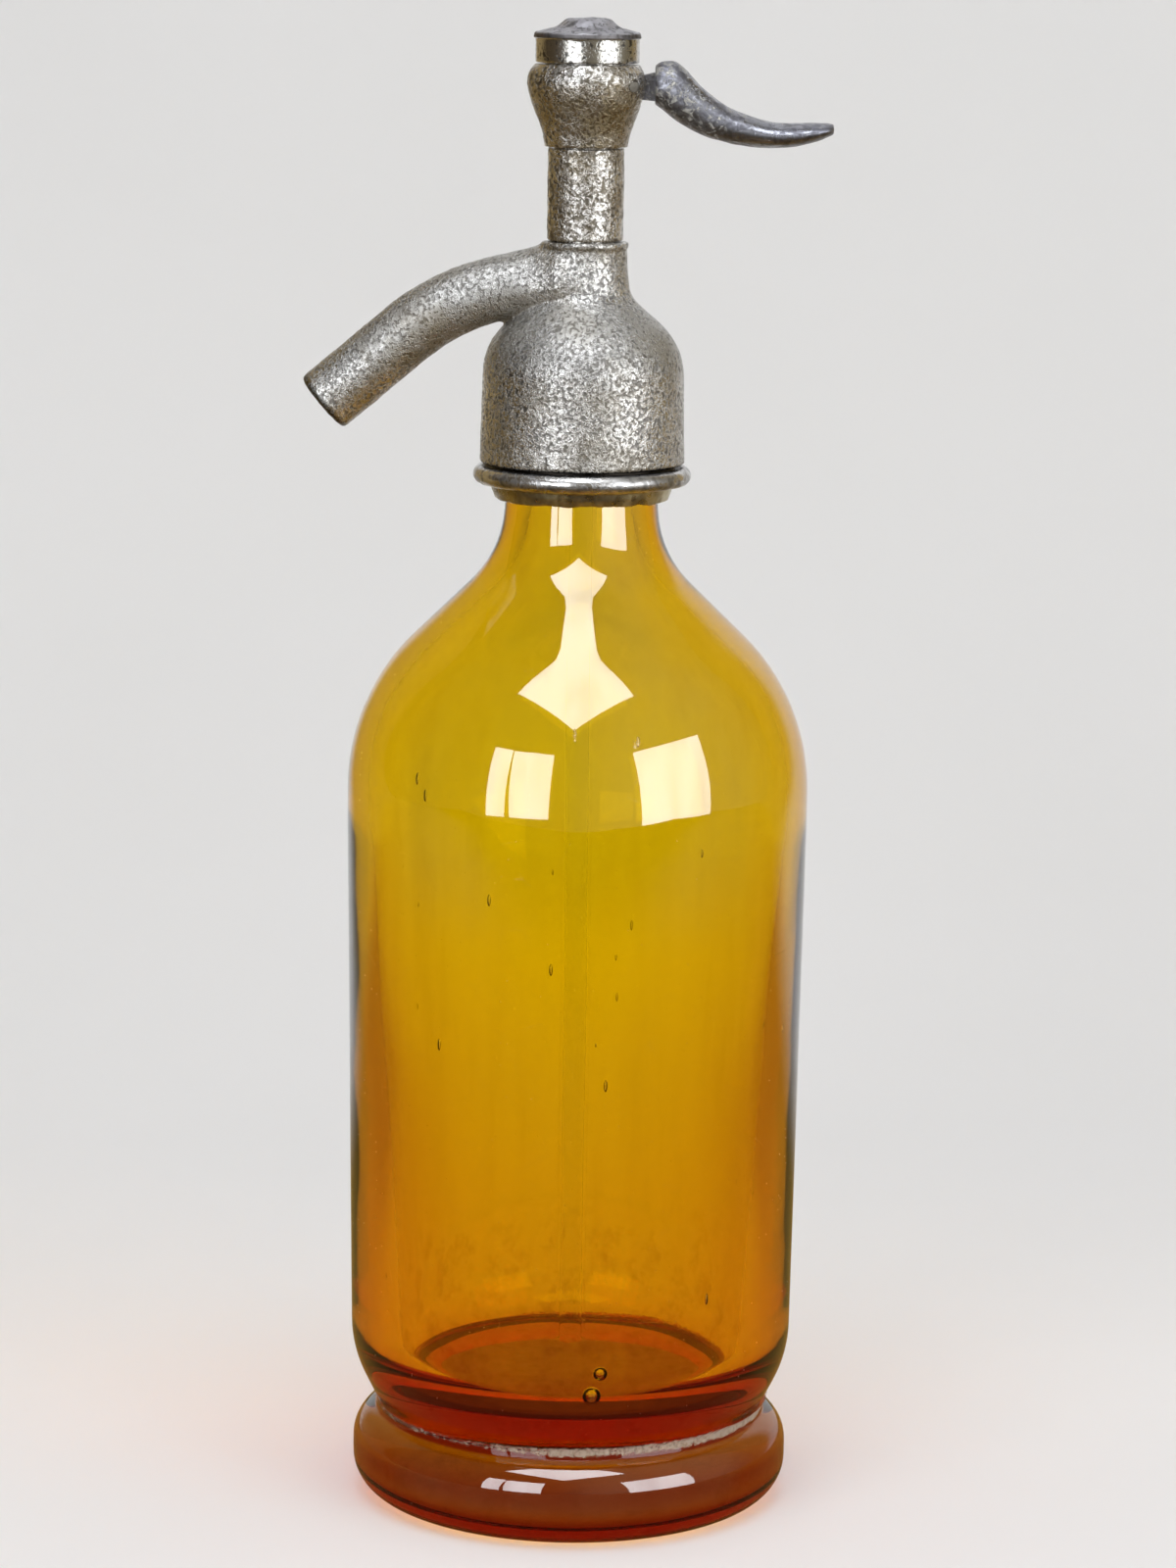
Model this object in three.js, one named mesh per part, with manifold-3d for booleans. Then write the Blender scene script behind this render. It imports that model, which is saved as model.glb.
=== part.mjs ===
import * as THREE from 'three';
import { mergeVertices } from 'three/addons/utils/BufferGeometryUtils.js';
import Module from 'manifold-3d';

// Soda siphon: a heavy amber glass bottle under a tinned pewter head with a spout and a lever.
// Lengths are millimetres and +Z is up. The origin is the middle of the flat ground underside.
// The spout points toward -X and the lever toward +X. Water rises in the dip tube, passes the
// valve seat in the head when the lever lifts the piston, and leaves by the spout.

const wasm = await Module();
wasm.setup();

const { degToRad } = THREE.MathUtils;

// Common values
const fitGap = 0.3;
const cutOver = 2;
const weldDistance = 1e-4;
const arcSag = 0.1;
const sides = { glass: 40, head: 36, column: 32, inner: 20, rod: 12, spout: 16, lever: 16, wire: 5 };

// Bottle
const bottle = {
  footRadius: 44.3,
  footHeight: 17.6,
  baseRound: 8,
  footRound: 7,
  grooveDepth: 5,
  grooveHeight: 1.9,
  grooveRound: 0.4,
  heelRadius: 44.7,
  heelRise: 10.7,
  heelRound: 24,
  bodyRadius: 46.24,
  bodyLength: 109.8,
  shoulderLength: 24.3,
  shoulderAngle: degToRad(45.9),
  shoulderRound: 43,
  neckLength: 19.8,
  neckTaper: 1.5,
  neckWall: 4.5,
  neckRound: 22,
  boreRadius: 10,
  lipReach: 1.6,
  lipHeight: 5.6,
  lipRound: 1.2,
  wall: 4.5,
  floorHeight: 27,
  floorRound: 9,
};

// Dip tube and what hangs it in the neck
const tube = { radius: 3, wall: 0.8, floorGap: 4, stub: 0.7 };
const sealWall = 0.8;
const gasket = { thickness: 2, boreEase: 0.5 };
const ferrule = { thickness: 1.4, rimInset: 1.1, sleeveDepth: 7.6, sleeveWall: 1.2, lipHeight: 0.6 };

// Clamp under the lip
const clamp = { height: 3.2, seat: 1, slit: 0.6 };
const collar = {
  sleeveWall: 0.9,
  sleeveRise: 1.4,
  beadReach: 3.05,
  beadHeight: 3.5,
  beadRound: 1.7,
  neckHeight: 0.5,
  neckReach: 1.1,
  skirtLength: 3,
  skirtReach: 1.9,
  skirtEdge: 0.8,
  skirtRound: 0.4,
};

// Head casting
const head = {
  bellDepth: 11.3,
  bellWall: 1.5,
  bellHeight: 23.3,
  bellTaper: 0.6,
  bellRound: 13.5,
  rimRound: 0.5,
  crownRise: 9.8,
  crownFlare: 0.6,
  crownRound: 5,
  crownTaper: 6.3,
  neckWall: 2.1,
  waterLength: 16.9,
  socketDepth: 4.2,
};
const spout = {
  boreRadius: 4,
  wall: 2.45,
  boreEase: 0.2,
  straight: 7.3,
  bendRadius: 43,
  drop: degToRad(40.3),
  tip: 21.8,
  tipRound: 1,
  flare: 2.6,
  flareLength: 8,
  steps: 14,
};

// Valve
const valve = {
  waterRadius: 2.6,
  seatWidth: 1.7,
  seatThickness: 2.2,
  nozzleHeight: 0.3,
  nozzleWall: 0.6,
  discThickness: 1.8,
  cupEase: 0.3,
  waterGap: 1,
  socketDepth: 2.2,
};
const screw = { headRadius: 1.9, headHeight: 1.1, radius: 0.8 };
const rod = { radius: 2 };

// Stuffing box and column
const packing = { wall: 1.6, height: 2.2, nutHeight: 1.3, nutInset: 0.4, washerHeight: 0.6 };
const column = {
  spigotWall: 1.8,
  bore: 4.4,
  boreWall: 2,
  shoulder: 1.15,
  length: 18,
  webThickness: 1.5,
  topSpigot: 4.6,
};

// Lever housing
const housing = {
  footReach: 0.6,
  footRise: 2.8,
  footFlare: 0.7,
  footRound: 6,
  bulge: 5.15,
  bulgeHeight: 10.8,
  bulgeRound: 7,
  browHeight: 14.3,
  browRound: 2.5,
  height: 16.1,
  threadWall: 1.7,
  threadHeight: 3.3,
  windowLow: 8.1,
  windowHeight: 7.3,
  windowRound: 0.8,
  pivotHeight: 12,
};

// Cap
const cap = {
  wall: 1.53,
  skirt: 5,
  rimHeight: 0.8,
  rimReach: 0.1,
  rimRound: 0.3,
  recessRadius: 4.6,
  recessDepth: 1.6,
  height: 8.9,
  knobRadius: 3.3,
  knobRound: 2,
  knobDrop: 0.3,
  slopeRadius: 5.6,
  slopeDrop: 2.2,
  gasketThickness: 0.8,
  gasketWidth: 3.2,
};

// Lever, its pin and the crosshead that it lifts
const pinRadius = 1;
const lever = {
  armWidth: 4.6,
  noseReach: 1.2,
  noseRadius: 1.7,
  noseDrop: 0.6,
  rootRise: 1.9,
  rootDrop: 0.7,
  rootGap: 1.55,
  overlap: 1.6,
  length: 35.2,
  depth: 11.8,
  breadth: 11.6,
  squareness: 2.6,
  press: degToRad(14),
  steps: 20,
};
const crosshead = {
  restGap: 0.7,
  socketDepth: 2.4,
  eyePlay: 0.3,
  reliefDepth: 1.6,
  reliefReach: 2.4,
  bridge: 1.4,
  spigotRadius: 2.6,
  spigotHeight: 2,
};
const spring = { wire: 0.9, meanRadius: 3.6, turns: 4, stepsPerTurn: 8 };

// Stations along the lever's handle: distance from the root as a share of its length, lower and
// upper edge as shares of its depth, measured from the pivot's level, and width as a share of breadth
const handleShares = [
  [0, -0.305, 0.339, 0.66],
  [0.045, -0.398, 0.411, 0.8],
  [0.134, -0.597, 0.377, 0.88],
  [0.259, -0.797, 0, 0.9],
  [0.384, -0.907, -0.28, 0.93],
  [0.511, -0.975, -0.453, 0.97],
  [0.636, -1, -0.559, 1],
  [0.761, -0.983, -0.585, 1],
  [0.889, -0.898, -0.576, 0.92],
  [0.965, -0.81, -0.58, 0.76],
  [1, -0.755, -0.6, 0.5],
];

// Radii, from the bottle's bore outward
const neckRadius = bottle.boreRadius + bottle.neckWall;
const neckRootRadius = neckRadius + bottle.neckTaper;
const lipRadius = neckRadius + bottle.lipReach;
const flangeRadius = lipRadius - ferrule.rimInset;
const collarBore = lipRadius + fitGap;
const clampRadius = collarBore + clamp.seat;
const sleeveBore = clampRadius + fitGap;
const sleeveRadius = sleeveBore + collar.sleeveWall;
const bellBore = sleeveRadius + fitGap;
const bellRadius = bellBore + head.bellWall;
const sealBore = tube.radius + fitGap;
const sealRadius = sealBore + sealWall;
const ferruleBore = sealRadius + fitGap;

// Radii, from the piston rod outward
const rodBore = rod.radius + fitGap;
const packingRadius = rodBore + packing.wall;
const packingBore = packingRadius + fitGap;
const footSpigotRadius = packingBore + column.spigotWall;
const headNeckBore = footSpigotRadius + fitGap;
const headNeckRadius = headNeckBore + head.neckWall;
const topSpigotRadius = column.bore + column.boreWall;
const columnRadius = topSpigotRadius + column.shoulder;
const housingBore = topSpigotRadius + fitGap;
const bulbRadius = housingBore + housing.bulge;
const threadRadius = housingBore + housing.threadWall;
const capBore = threadRadius + fitGap;
const capRadius = capBore + cap.wall;
const seatRadius = valve.waterRadius + valve.seatWidth;
const seatPocket = seatRadius + fitGap;
const cupRadius = seatRadius + valve.cupEase;
const chamberRadius = cupRadius + valve.waterGap;
const spoutRadius = spout.boreRadius + spout.wall;

// Levels of the bottle and its clamp
const heelBase = bottle.footHeight + bottle.grooveHeight;
const heelTop = heelBase + bottle.heelRise;
const widestLevel = heelTop + bottle.bodyLength;
const shoulderLevel = widestLevel + bottle.shoulderLength;
const shoulderSlope = Math.tan(bottle.shoulderAngle);
const neckRoot = shoulderLevel + (bottle.bodyRadius - neckRootRadius) / shoulderSlope;
const lipBase = neckRoot + bottle.neckLength;
const lipTop = lipBase + bottle.lipHeight;
const clampTop = lipBase - fitGap;
const clampBase = clampTop - clamp.height;
const collarFloor = clampBase - fitGap;
const gasketBase = lipTop + fitGap;
const flangeBase = gasketBase + gasket.thickness + fitGap;
const flangeTop = flangeBase + ferrule.thickness;

// Levels of the head and valve
const ledge = flangeTop + fitGap;
const bellRim = ledge - head.bellDepth;
const beadTop = bellRim - fitGap - collar.neckHeight;
const beadBase = beadTop - collar.beadHeight;
const pocketFloor = ledge + head.waterLength;
const seatBase = pocketFloor + fitGap;
const chamberFloor = seatBase + valve.seatThickness + valve.nozzleHeight;
const spoutLevel = chamberFloor + spout.boreRadius + spout.boreEase;
const chamberTop = spoutLevel + spout.boreRadius + spout.boreEase;
const headTop = chamberTop + head.socketDepth;
const discBase = chamberFloor + fitGap;
const cupBase = discBase + valve.discThickness + fitGap;

// Levels of the column, stuffing box and lever housing
const columnBase = headTop + fitGap;
const spigotBase = chamberTop + fitGap;
const nutBase = spigotBase + packing.nutInset;
const packingBase = nutBase + packing.nutHeight + fitGap;
const washerBase = packingBase + packing.height + fitGap;
const webBase = washerBase + packing.washerHeight + fitGap;
const columnTop = columnBase + column.length;
const topSpigotTop = columnTop + column.topSpigot;
const housingBase = columnTop + fitGap;
const housingTop = housingBase + housing.height;
const threadTop = housingTop + housing.threadHeight;
const pivotLevel = housingBase + housing.pivotHeight;
const pivotReach = (housingBore + bulbRadius) / 2;

// Lever motion: the nose lifts the crosshead by the arm's length times the angle
const armLength = pivotReach - lever.noseReach;
const pistonLift = armLength * lever.press;
const noseLevel = pivotLevel - lever.noseDrop;
const slotWidth = lever.armWidth + fitGap + fitGap;

// Levels of the piston and its spring
const cupTop = spigotBase - fitGap - pistonLift;
const rodBase = cupTop - valve.socketDepth + fitGap;
const crossheadBase = topSpigotTop + crosshead.restGap;
const rodTop = crossheadBase + crosshead.socketDepth - fitGap;
const eyeTop = noseLevel + lever.noseRadius + fitGap;
const eyeFloor = noseLevel - lever.noseRadius - fitGap - crosshead.eyePlay;
const reliefFloor = noseLevel - lever.noseRadius - crosshead.reliefDepth;
const crossheadTop = eyeTop + crosshead.bridge;
const crossheadRadius = housingBore - fitGap;
const capBase = housingTop + fitGap;
const capGasketBase = threadTop + fitGap;
const capRoof = capGasketBase + cap.gasketThickness + fitGap;
const springBase = crossheadTop + fitGap;
const springTop = capRoof + cap.recessDepth - fitGap;

// Finishes
const finishes = {
  amberGlass: { color: 0xcda50a, roughness: 0.06, metalness: 0, transparent: true, opacity: 0.75 },
  clearGlass: { color: 0xdfe8df, roughness: 0.05, metalness: 0, transparent: true, opacity: 0.4 },
  pittedPewter: { color: 0xa39d8c, roughness: 0.45, metalness: 0.9 },
  brightPewter: { color: 0xc9c8c2, roughness: 0.2, metalness: 1 },
  darkPewter: { color: 0x73757a, roughness: 0.5, metalness: 0.85 },
  brass: { color: 0xb08d4a, roughness: 0.35, metalness: 1 },
  steel: { color: 0xb8babc, roughness: 0.3, metalness: 1 },
  rubber: { color: 0x2b2a28, roughness: 0.8, metalness: 0 },
  leather: { color: 0x6f4a2c, roughness: 0.85, metalness: 0 },
};

// Outline made of straight edges and true arcs. A corner is [radius, height, round], and a round
// is limited by the two edges that it joins.
function roundedOutline(corners, closed) {
  const count = corners.length;
  const places = corners.map(([x, y]) => new THREE.Vector2(x, y));
  const edgeFrom = (i) => places[(i + 1) % count].clone().sub(places[i]);
  const turns = corners.map((corner, i) => {
    const before = edgeFrom((i + count - 1) % count);
    const after = edgeFrom(i);
    return Math.atan2(before.cross(after), before.dot(after));
  });
  const isEnd = (i) => !closed && (i === 0 || i === count - 1);
  const reaches = corners.map(([, , round = 0], i) => (
    isEnd(i) ? 0 : round * Math.abs(Math.tan(turns[i] / 2))
  ));
  const room = (i) => edgeFrom(i).length() / Math.max(reaches[i] + reaches[(i + 1) % count], weldDistance);
  const outline = [];
  corners.forEach(([, , round = 0], i) => {
    const limit = Math.min(1, room(i), room((i + count - 1) % count));
    if (reaches[i] * limit < weldDistance) {
      outline.push(places[i]);
      return;
    }
    outline.push(...arcAt(places[i], edgeFrom((i + count - 1) % count), turns[i], round * limit));
  });
  return outline;
}

function arcAt(corner, before, turn, radius) {
  const along = before.clone().normalize();
  const side = Math.sign(turn);
  const start = corner.clone().addScaledVector(along, -radius * Math.abs(Math.tan(turn / 2)));
  const inward = new THREE.Vector2(-along.y * side, along.x * side);
  const centre = start.clone().addScaledVector(inward, radius);
  const longestStep = Math.acos(Math.max(0, 1 - arcSag / radius)) * 2;
  const steps = Math.max(1, Math.ceil(Math.abs(turn) / longestStep));
  const points = [];
  for (let step = 0; step <= steps; step += 1) {
    points.push(start.clone().rotateAround(centre, turn * step / steps));
  }
  return points;
}

// Body of revolution about Z. Corners that start on the axis end on it, and others close up.
function revolve(corners, count) {
  const closed = corners[0][0] > 0;
  const outline = roundedOutline(corners, closed);
  if (closed) outline.push(outline[0].clone());
  return new THREE.LatheGeometry(outline, count).rotateX(Math.PI / 2);
}

function ring(innerRadius, outerRadius, height, count) {
  return revolve([[innerRadius, 0], [outerRadius, 0], [outerRadius, height], [innerRadius, height]], count);
}

function disc(radius, height, count) {
  return revolve([[0, 0], [radius, 0], [radius, height], [0, height]], count);
}

function box(low, high) {
  const size = high.clone().sub(low);
  const centre = low.clone().add(high).multiplyScalar(0.5);
  return new THREE.BoxGeometry(size.x, size.y, size.z).translate(centre.x, centre.y, centre.z);
}

// Closed skin over a row of equal rings that run round their direction of travel
function skin(rings) {
  const count = rings[0].length;
  const points = rings.flat();
  const triangles = [];
  for (let row = 0; row < rings.length - 1; row += 1) {
    for (let i = 0; i < count; i += 1) {
      const here = row * count + i;
      const beside = row * count + (i + 1) % count;
      triangles.push(here, beside, beside + count, here, beside + count, here + count);
    }
  }
  const middle = (row) => row.reduce((sum, point) => sum.add(point), new THREE.Vector3()).divideScalar(count);
  const lastRow = (rings.length - 1) * count;
  const firstMiddle = points.push(middle(rings[0])) - 1;
  const lastMiddle = points.push(middle(rings[rings.length - 1])) - 1;
  for (let i = 0; i < count; i += 1) {
    const beside = (i + 1) % count;
    triangles.push(firstMiddle, beside, i, lastMiddle, lastRow + i, lastRow + beside);
  }
  const geometry = new THREE.BufferGeometry().setFromPoints(points);
  geometry.setIndex(triangles);
  return geometry;
}

function circleAcross(centre, direction, sideways, radius, count) {
  const upward = direction.clone().cross(sideways).normalize();
  return Array.from({ length: count }, (unused, i) => {
    const angle = Math.PI * 2 * i / count;
    return centre.clone()
      .addScaledVector(sideways, radius * Math.cos(angle))
      .addScaledVector(upward, radius * Math.sin(angle));
  });
}

// Solids for cutting and joining, and back
function solid(geometry) {
  const bare = geometry.clone();
  bare.deleteAttribute('normal');
  bare.deleteAttribute('uv');
  const merged = mergeVertices(bare, weldDistance);
  const corners = merged.index.array;
  const triVerts = [];
  for (let i = 0; i < corners.length; i += 3) {
    const [a, b, c] = corners.slice(i, i + 3);
    if (a !== b && b !== c && c !== a) triVerts.push(a, b, c);
  }
  return new wasm.Manifold(new wasm.Mesh({
    numProp: 3,
    vertProperties: Float32Array.from(merged.attributes.position.array),
    triVerts: Uint32Array.from(triVerts),
  }));
}

function geometryOf(body) {
  const { vertProperties, triVerts } = body.getMesh();
  const geometry = new THREE.BufferGeometry();
  geometry.setAttribute('position', new THREE.BufferAttribute(vertProperties, 3));
  geometry.setIndex(new THREE.BufferAttribute(triVerts, 1));
  return geometry;
}

function piece(name, geometry, finish, level = 0) {
  const shown = geometry.index ? geometry.toNonIndexed() : geometry;
  shown.computeVertexNormals();
  const mesh = new THREE.Mesh(shown, new THREE.MeshStandardMaterial(finish));
  mesh.name = name;
  mesh.position.z = level;
  return mesh;
}

// Bottle: foot, groove, tapered body and neck in one blown piece with a thick floor
function bottleOutside() {
  const groove = bottle.footRadius - bottle.grooveDepth;
  return [
    [0, 0],
    [bottle.footRadius, 0, bottle.baseRound],
    [bottle.footRadius, bottle.footHeight - bottle.grooveHeight, bottle.footRound],
    [groove + bottle.grooveRound, bottle.footHeight, bottle.grooveRound],
    [groove, heelBase, bottle.grooveRound],
    [bottle.heelRadius, heelTop, bottle.heelRound],
    [bottle.bodyRadius, widestLevel],
    [bottle.bodyRadius, shoulderLevel, bottle.shoulderRound],
    [neckRootRadius, neckRoot, bottle.neckRound],
    [neckRadius, lipBase],
    [lipRadius, lipBase, bottle.lipRound],
    [lipRadius, lipTop, bottle.lipRound],
  ];
}

function bottleInside() {
  const innerRadius = bottle.bodyRadius - bottle.wall;
  const innerShoulder = shoulderLevel - bottle.wall * Math.tan(bottle.shoulderAngle / 2);
  const boreRoot = innerShoulder + (innerRadius - bottle.boreRadius) / shoulderSlope;
  return [
    [bottle.boreRadius, lipTop, bottle.lipRound],
    [bottle.boreRadius, boreRoot, bottle.neckRound + bottle.wall],
    [innerRadius, innerShoulder, bottle.shoulderRound - bottle.wall],
    [innerRadius, widestLevel],
    [bottle.heelRadius - bottle.wall, bottle.floorHeight, bottle.floorRound],
    [0, bottle.floorHeight],
  ];
}

function makeBottle() {
  return piece('bottle', revolve([...bottleOutside(), ...bottleInside()], sides.glass), finishes.amberGlass);
}

// Dip tube with its seal and flanged ferrule
function makeDipTube() {
  const base = bottle.floorHeight + tube.floorGap;
  const top = flangeTop - tube.stub + fitGap;
  const shape = ring(tube.radius - tube.wall, tube.radius, top - base, sides.rod);
  return piece('dip_tube', shape, finishes.clearGlass, base);
}

function makeTubeSeal() {
  const base = flangeBase - ferrule.sleeveDepth + ferrule.lipHeight + fitGap;
  const shape = ring(sealBore, sealRadius, flangeTop - base - fitGap, sides.rod);
  return piece('tube_seal', shape, finishes.rubber, base);
}

function makeFerrule() {
  const sleeveRadiusOut = ferruleBore + ferrule.sleeveWall;
  const shape = revolve([
    [sealBore, 0],
    [sleeveRadiusOut, 0],
    [sleeveRadiusOut, ferrule.sleeveDepth],
    [flangeRadius, ferrule.sleeveDepth],
    [flangeRadius, ferrule.sleeveDepth + ferrule.thickness],
    [ferruleBore, ferrule.sleeveDepth + ferrule.thickness],
    [ferruleBore, ferrule.lipHeight],
    [sealBore, ferrule.lipHeight],
  ], sides.inner);
  return piece('tube_ferrule', shape, finishes.brass, flangeBase - ferrule.sleeveDepth);
}

function makeLipGasket() {
  const shape = ring(bottle.boreRadius + gasket.boreEase, flangeRadius, gasket.thickness, sides.inner);
  return piece('lip_gasket', shape, finishes.rubber, gasketBase);
}

// Clamp: a ring split in two halves that hooks under the lip, drawn up by the screwed collar
function neckRadiusAt(level) {
  return neckRadius + bottle.neckTaper * (lipBase - level) / bottle.neckLength;
}

function makeClampHalf(name, side) {
  const whole = solid(ring(neckRadiusAt(clampBase) + fitGap, clampRadius, clamp.height, sides.head));
  const inner = side * clamp.slit / 2;
  const outer = side * (clampRadius + cutOver);
  const half = box(
    new THREE.Vector3(Math.min(inner, outer), -clampRadius - cutOver, -cutOver),
    new THREE.Vector3(Math.max(inner, outer), clampRadius + cutOver, clamp.height + cutOver),
  );
  return piece(name, geometryOf(whole.intersect(solid(half))), finishes.brass, clampBase);
}

function makeCollar() {
  const skirtBase = beadBase - collar.skirtLength;
  const at = (level) => level - skirtBase;
  const shape = revolve([
    [collarBore, 0],
    [collarBore + collar.skirtEdge, 0, collar.skirtRound],
    [collarBore + collar.skirtReach, at(beadBase)],
    [sleeveRadius + collar.beadReach, at(beadBase), collar.beadRound],
    [sleeveRadius + collar.beadReach, at(beadTop), collar.beadRound],
    [sleeveRadius + collar.neckReach, at(beadTop)],
    [sleeveRadius + collar.neckReach, at(bellRim - fitGap)],
    [sleeveRadius, at(bellRim - fitGap)],
    [sleeveRadius, at(lipTop + collar.sleeveRise)],
    [sleeveBore, at(lipTop + collar.sleeveRise)],
    [sleeveBore, at(collarFloor)],
    [collarBore, at(collarFloor)],
  ], sides.head);
  return piece('clamp_collar', shape, finishes.pittedPewter, skirtBase);
}

// Spout route: level out of the head, one bend, then a straight tip
class SpoutRoute extends THREE.Curve {
  constructor() {
    super();
    this.bend = spout.bendRadius * spout.drop;
    this.bent = spout.straight + this.bend;
    this.total = this.bent + spout.tip;
  }

  getPoint(share, target = new THREE.Vector3()) {
    const distance = share * this.total;
    const turned = Math.min(Math.max(distance - spout.straight, 0), this.bend) / spout.bendRadius;
    const level = Math.min(distance, spout.straight);
    const beyond = Math.max(distance - spout.straight - this.bend, 0);
    const reach = level + spout.bendRadius * Math.sin(turned) + beyond * Math.cos(turned);
    const fall = spout.bendRadius * (1 - Math.cos(turned)) + beyond * Math.sin(turned);
    return target.set(-reach, 0, spoutLevel - fall);
  }

  headingAt(distance) {
    const turned = Math.min(Math.max(distance - spout.straight, 0), this.bend) / spout.bendRadius;
    return new THREE.Vector3(-Math.cos(turned), 0, -Math.sin(turned));
  }
}

function spoutRing(route, distance, radius) {
  const centre = route.getPoint(distance / route.total);
  return circleAcross(centre, route.headingAt(distance), new THREE.Vector3(0, 1, 0), radius, sides.spout);
}

function spoutOutside(route) {
  const rings = [];
  for (let step = 0; step <= spout.steps; step += 1) {
    const distance = route.bent * step / spout.steps;
    const fade = Math.max(0, 1 - Math.max(distance - chamberRadius, 0) / (spout.flareLength + chamberRadius));
    rings.push(spoutRing(route, distance, spoutRadius + spout.flare * fade ** 3));
  }
  [0, Math.PI / 4, Math.PI / 2].forEach((lean) => {
    const distance = route.total - spout.tipRound * (1 - Math.sin(lean));
    rings.push(spoutRing(route, distance, spoutRadius - spout.tipRound * (1 - Math.cos(lean))));
  });
  return solid(skin(rings));
}

function spoutBore(route) {
  const rings = [];
  for (let step = 0; step <= spout.steps; step += 1) {
    rings.push(spoutRing(route, route.bent * step / spout.steps, spout.boreRadius));
  }
  rings.push(spoutRing(route, route.total + cutOver, spout.boreRadius));
  return solid(skin(rings));
}

function headOutside() {
  const shoulder = bellRim + head.bellHeight;
  const crown = shoulder + head.crownRise;
  return revolve([
    [0, bellRim],
    [bellRadius, bellRim, head.rimRound],
    [bellRadius - head.bellTaper, shoulder, head.bellRound],
    [headNeckRadius + head.crownFlare, crown, head.crownRound],
    [headNeckRadius, crown + head.crownTaper],
    [headNeckRadius, headTop],
    [0, headTop],
  ], sides.head);
}

function headInside() {
  return revolve([
    [0, bellRim - cutOver],
    [bellBore, bellRim - cutOver],
    [bellBore, flangeBase],
    [flangeRadius + fitGap, flangeBase],
    [flangeRadius + fitGap, ledge],
    [valve.waterRadius, ledge],
    [valve.waterRadius, pocketFloor],
    [seatPocket, pocketFloor],
    [seatPocket, chamberFloor],
    [chamberRadius, chamberFloor],
    [chamberRadius, chamberTop],
    [headNeckBore, chamberTop],
    [headNeckBore, headTop + cutOver],
    [0, headTop + cutOver],
  ], sides.head);
}

function makeHeadBody() {
  const route = new SpoutRoute();
  const cast = solid(headOutside()).add(spoutOutside(route));
  const bored = cast.subtract(solid(headInside())).subtract(spoutBore(route));
  return piece('head_body', geometryOf(bored), finishes.pittedPewter);
}

// Valve: a rubber disc in a cup, screwed under the piston rod, that shuts on a raised nozzle
function makeValveSeat() {
  const shape = revolve([
    [valve.waterRadius, 0],
    [seatRadius, 0],
    [seatRadius, valve.seatThickness],
    [valve.waterRadius + valve.nozzleWall, valve.seatThickness],
    [valve.waterRadius + valve.nozzleWall, valve.seatThickness + valve.nozzleHeight],
    [valve.waterRadius, valve.seatThickness + valve.nozzleHeight],
  ], sides.inner);
  return piece('valve_seat', shape, finishes.brass, seatBase);
}

function makeValveDisc() {
  const shape = ring(screw.radius + fitGap, seatRadius, valve.discThickness, sides.inner);
  return piece('valve_disc', shape, finishes.rubber, discBase);
}

function makeValveHolder() {
  const height = cupTop - cupBase;
  const socketFloor = height - valve.socketDepth;
  const shape = revolve([
    [screw.radius + fitGap, 0],
    [cupRadius, 0],
    [cupRadius, height],
    [rodBore, height],
    [rodBore, socketFloor],
    [screw.radius + fitGap, socketFloor],
  ], sides.inner);
  return piece('valve_holder', shape, finishes.brass, cupBase);
}

function makeValveScrew() {
  const base = discBase - fitGap - screw.headHeight;
  const top = rodBase - fitGap - fitGap;
  const shape = revolve([
    [0, 0],
    [screw.headRadius, 0],
    [screw.headRadius, screw.headHeight],
    [screw.radius, screw.headHeight],
    [screw.radius, top - base],
    [0, top - base],
  ], sides.rod);
  return piece('valve_screw', shape, finishes.brass, base);
}

function makePistonRod() {
  return piece('piston_rod', disc(rod.radius, rodTop - rodBase, sides.rod), finishes.brass, rodBase);
}

// Stuffing box in the foot of the column
function makeGlandNut() {
  return piece('gland_nut', ring(rodBore, packingRadius, packing.nutHeight, sides.inner), finishes.brass, nutBase);
}

function makeRodPacking() {
  const shape = ring(rodBore, packingRadius, packing.height, sides.inner);
  return piece('rod_packing', shape, finishes.leather, packingBase);
}

function makePackingWasher() {
  const shape = ring(rodBore, packingRadius, packing.washerHeight, sides.inner);
  return piece('packing_washer', shape, finishes.brass, washerBase);
}

function makeColumn() {
  const at = (level) => level - spigotBase;
  const shape = revolve([
    [packingBore, 0],
    [footSpigotRadius, 0],
    [footSpigotRadius, at(columnBase)],
    [columnRadius, at(columnBase)],
    [columnRadius, at(columnTop)],
    [topSpigotRadius, at(columnTop)],
    [topSpigotRadius, at(topSpigotTop)],
    [column.bore, at(topSpigotTop)],
    [column.bore, at(webBase + column.webThickness)],
    [rodBore, at(webBase + column.webThickness)],
    [rodBore, at(webBase)],
    [packingBore, at(webBase)],
  ], sides.column);
  return piece('column_tube', shape, finishes.pittedPewter, spigotBase);
}

// Lever housing: the bulb, bored through, with a window for the lever and a hole for its pin
function housingOutside() {
  return [
    [columnRadius + housing.footReach, 0],
    [columnRadius + housing.footReach + housing.footFlare, housing.footRise, housing.footRound],
    [bulbRadius, housing.bulgeHeight, housing.bulgeRound],
    [bulbRadius, housing.browHeight, housing.browRound],
    [capRadius, housing.height],
  ];
}

function pinBar(radius, halfLength) {
  return new THREE.CylinderGeometry(radius, radius, halfLength + halfLength, sides.rod)
    .translate(pivotReach, 0, housing.pivotHeight);
}

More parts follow.
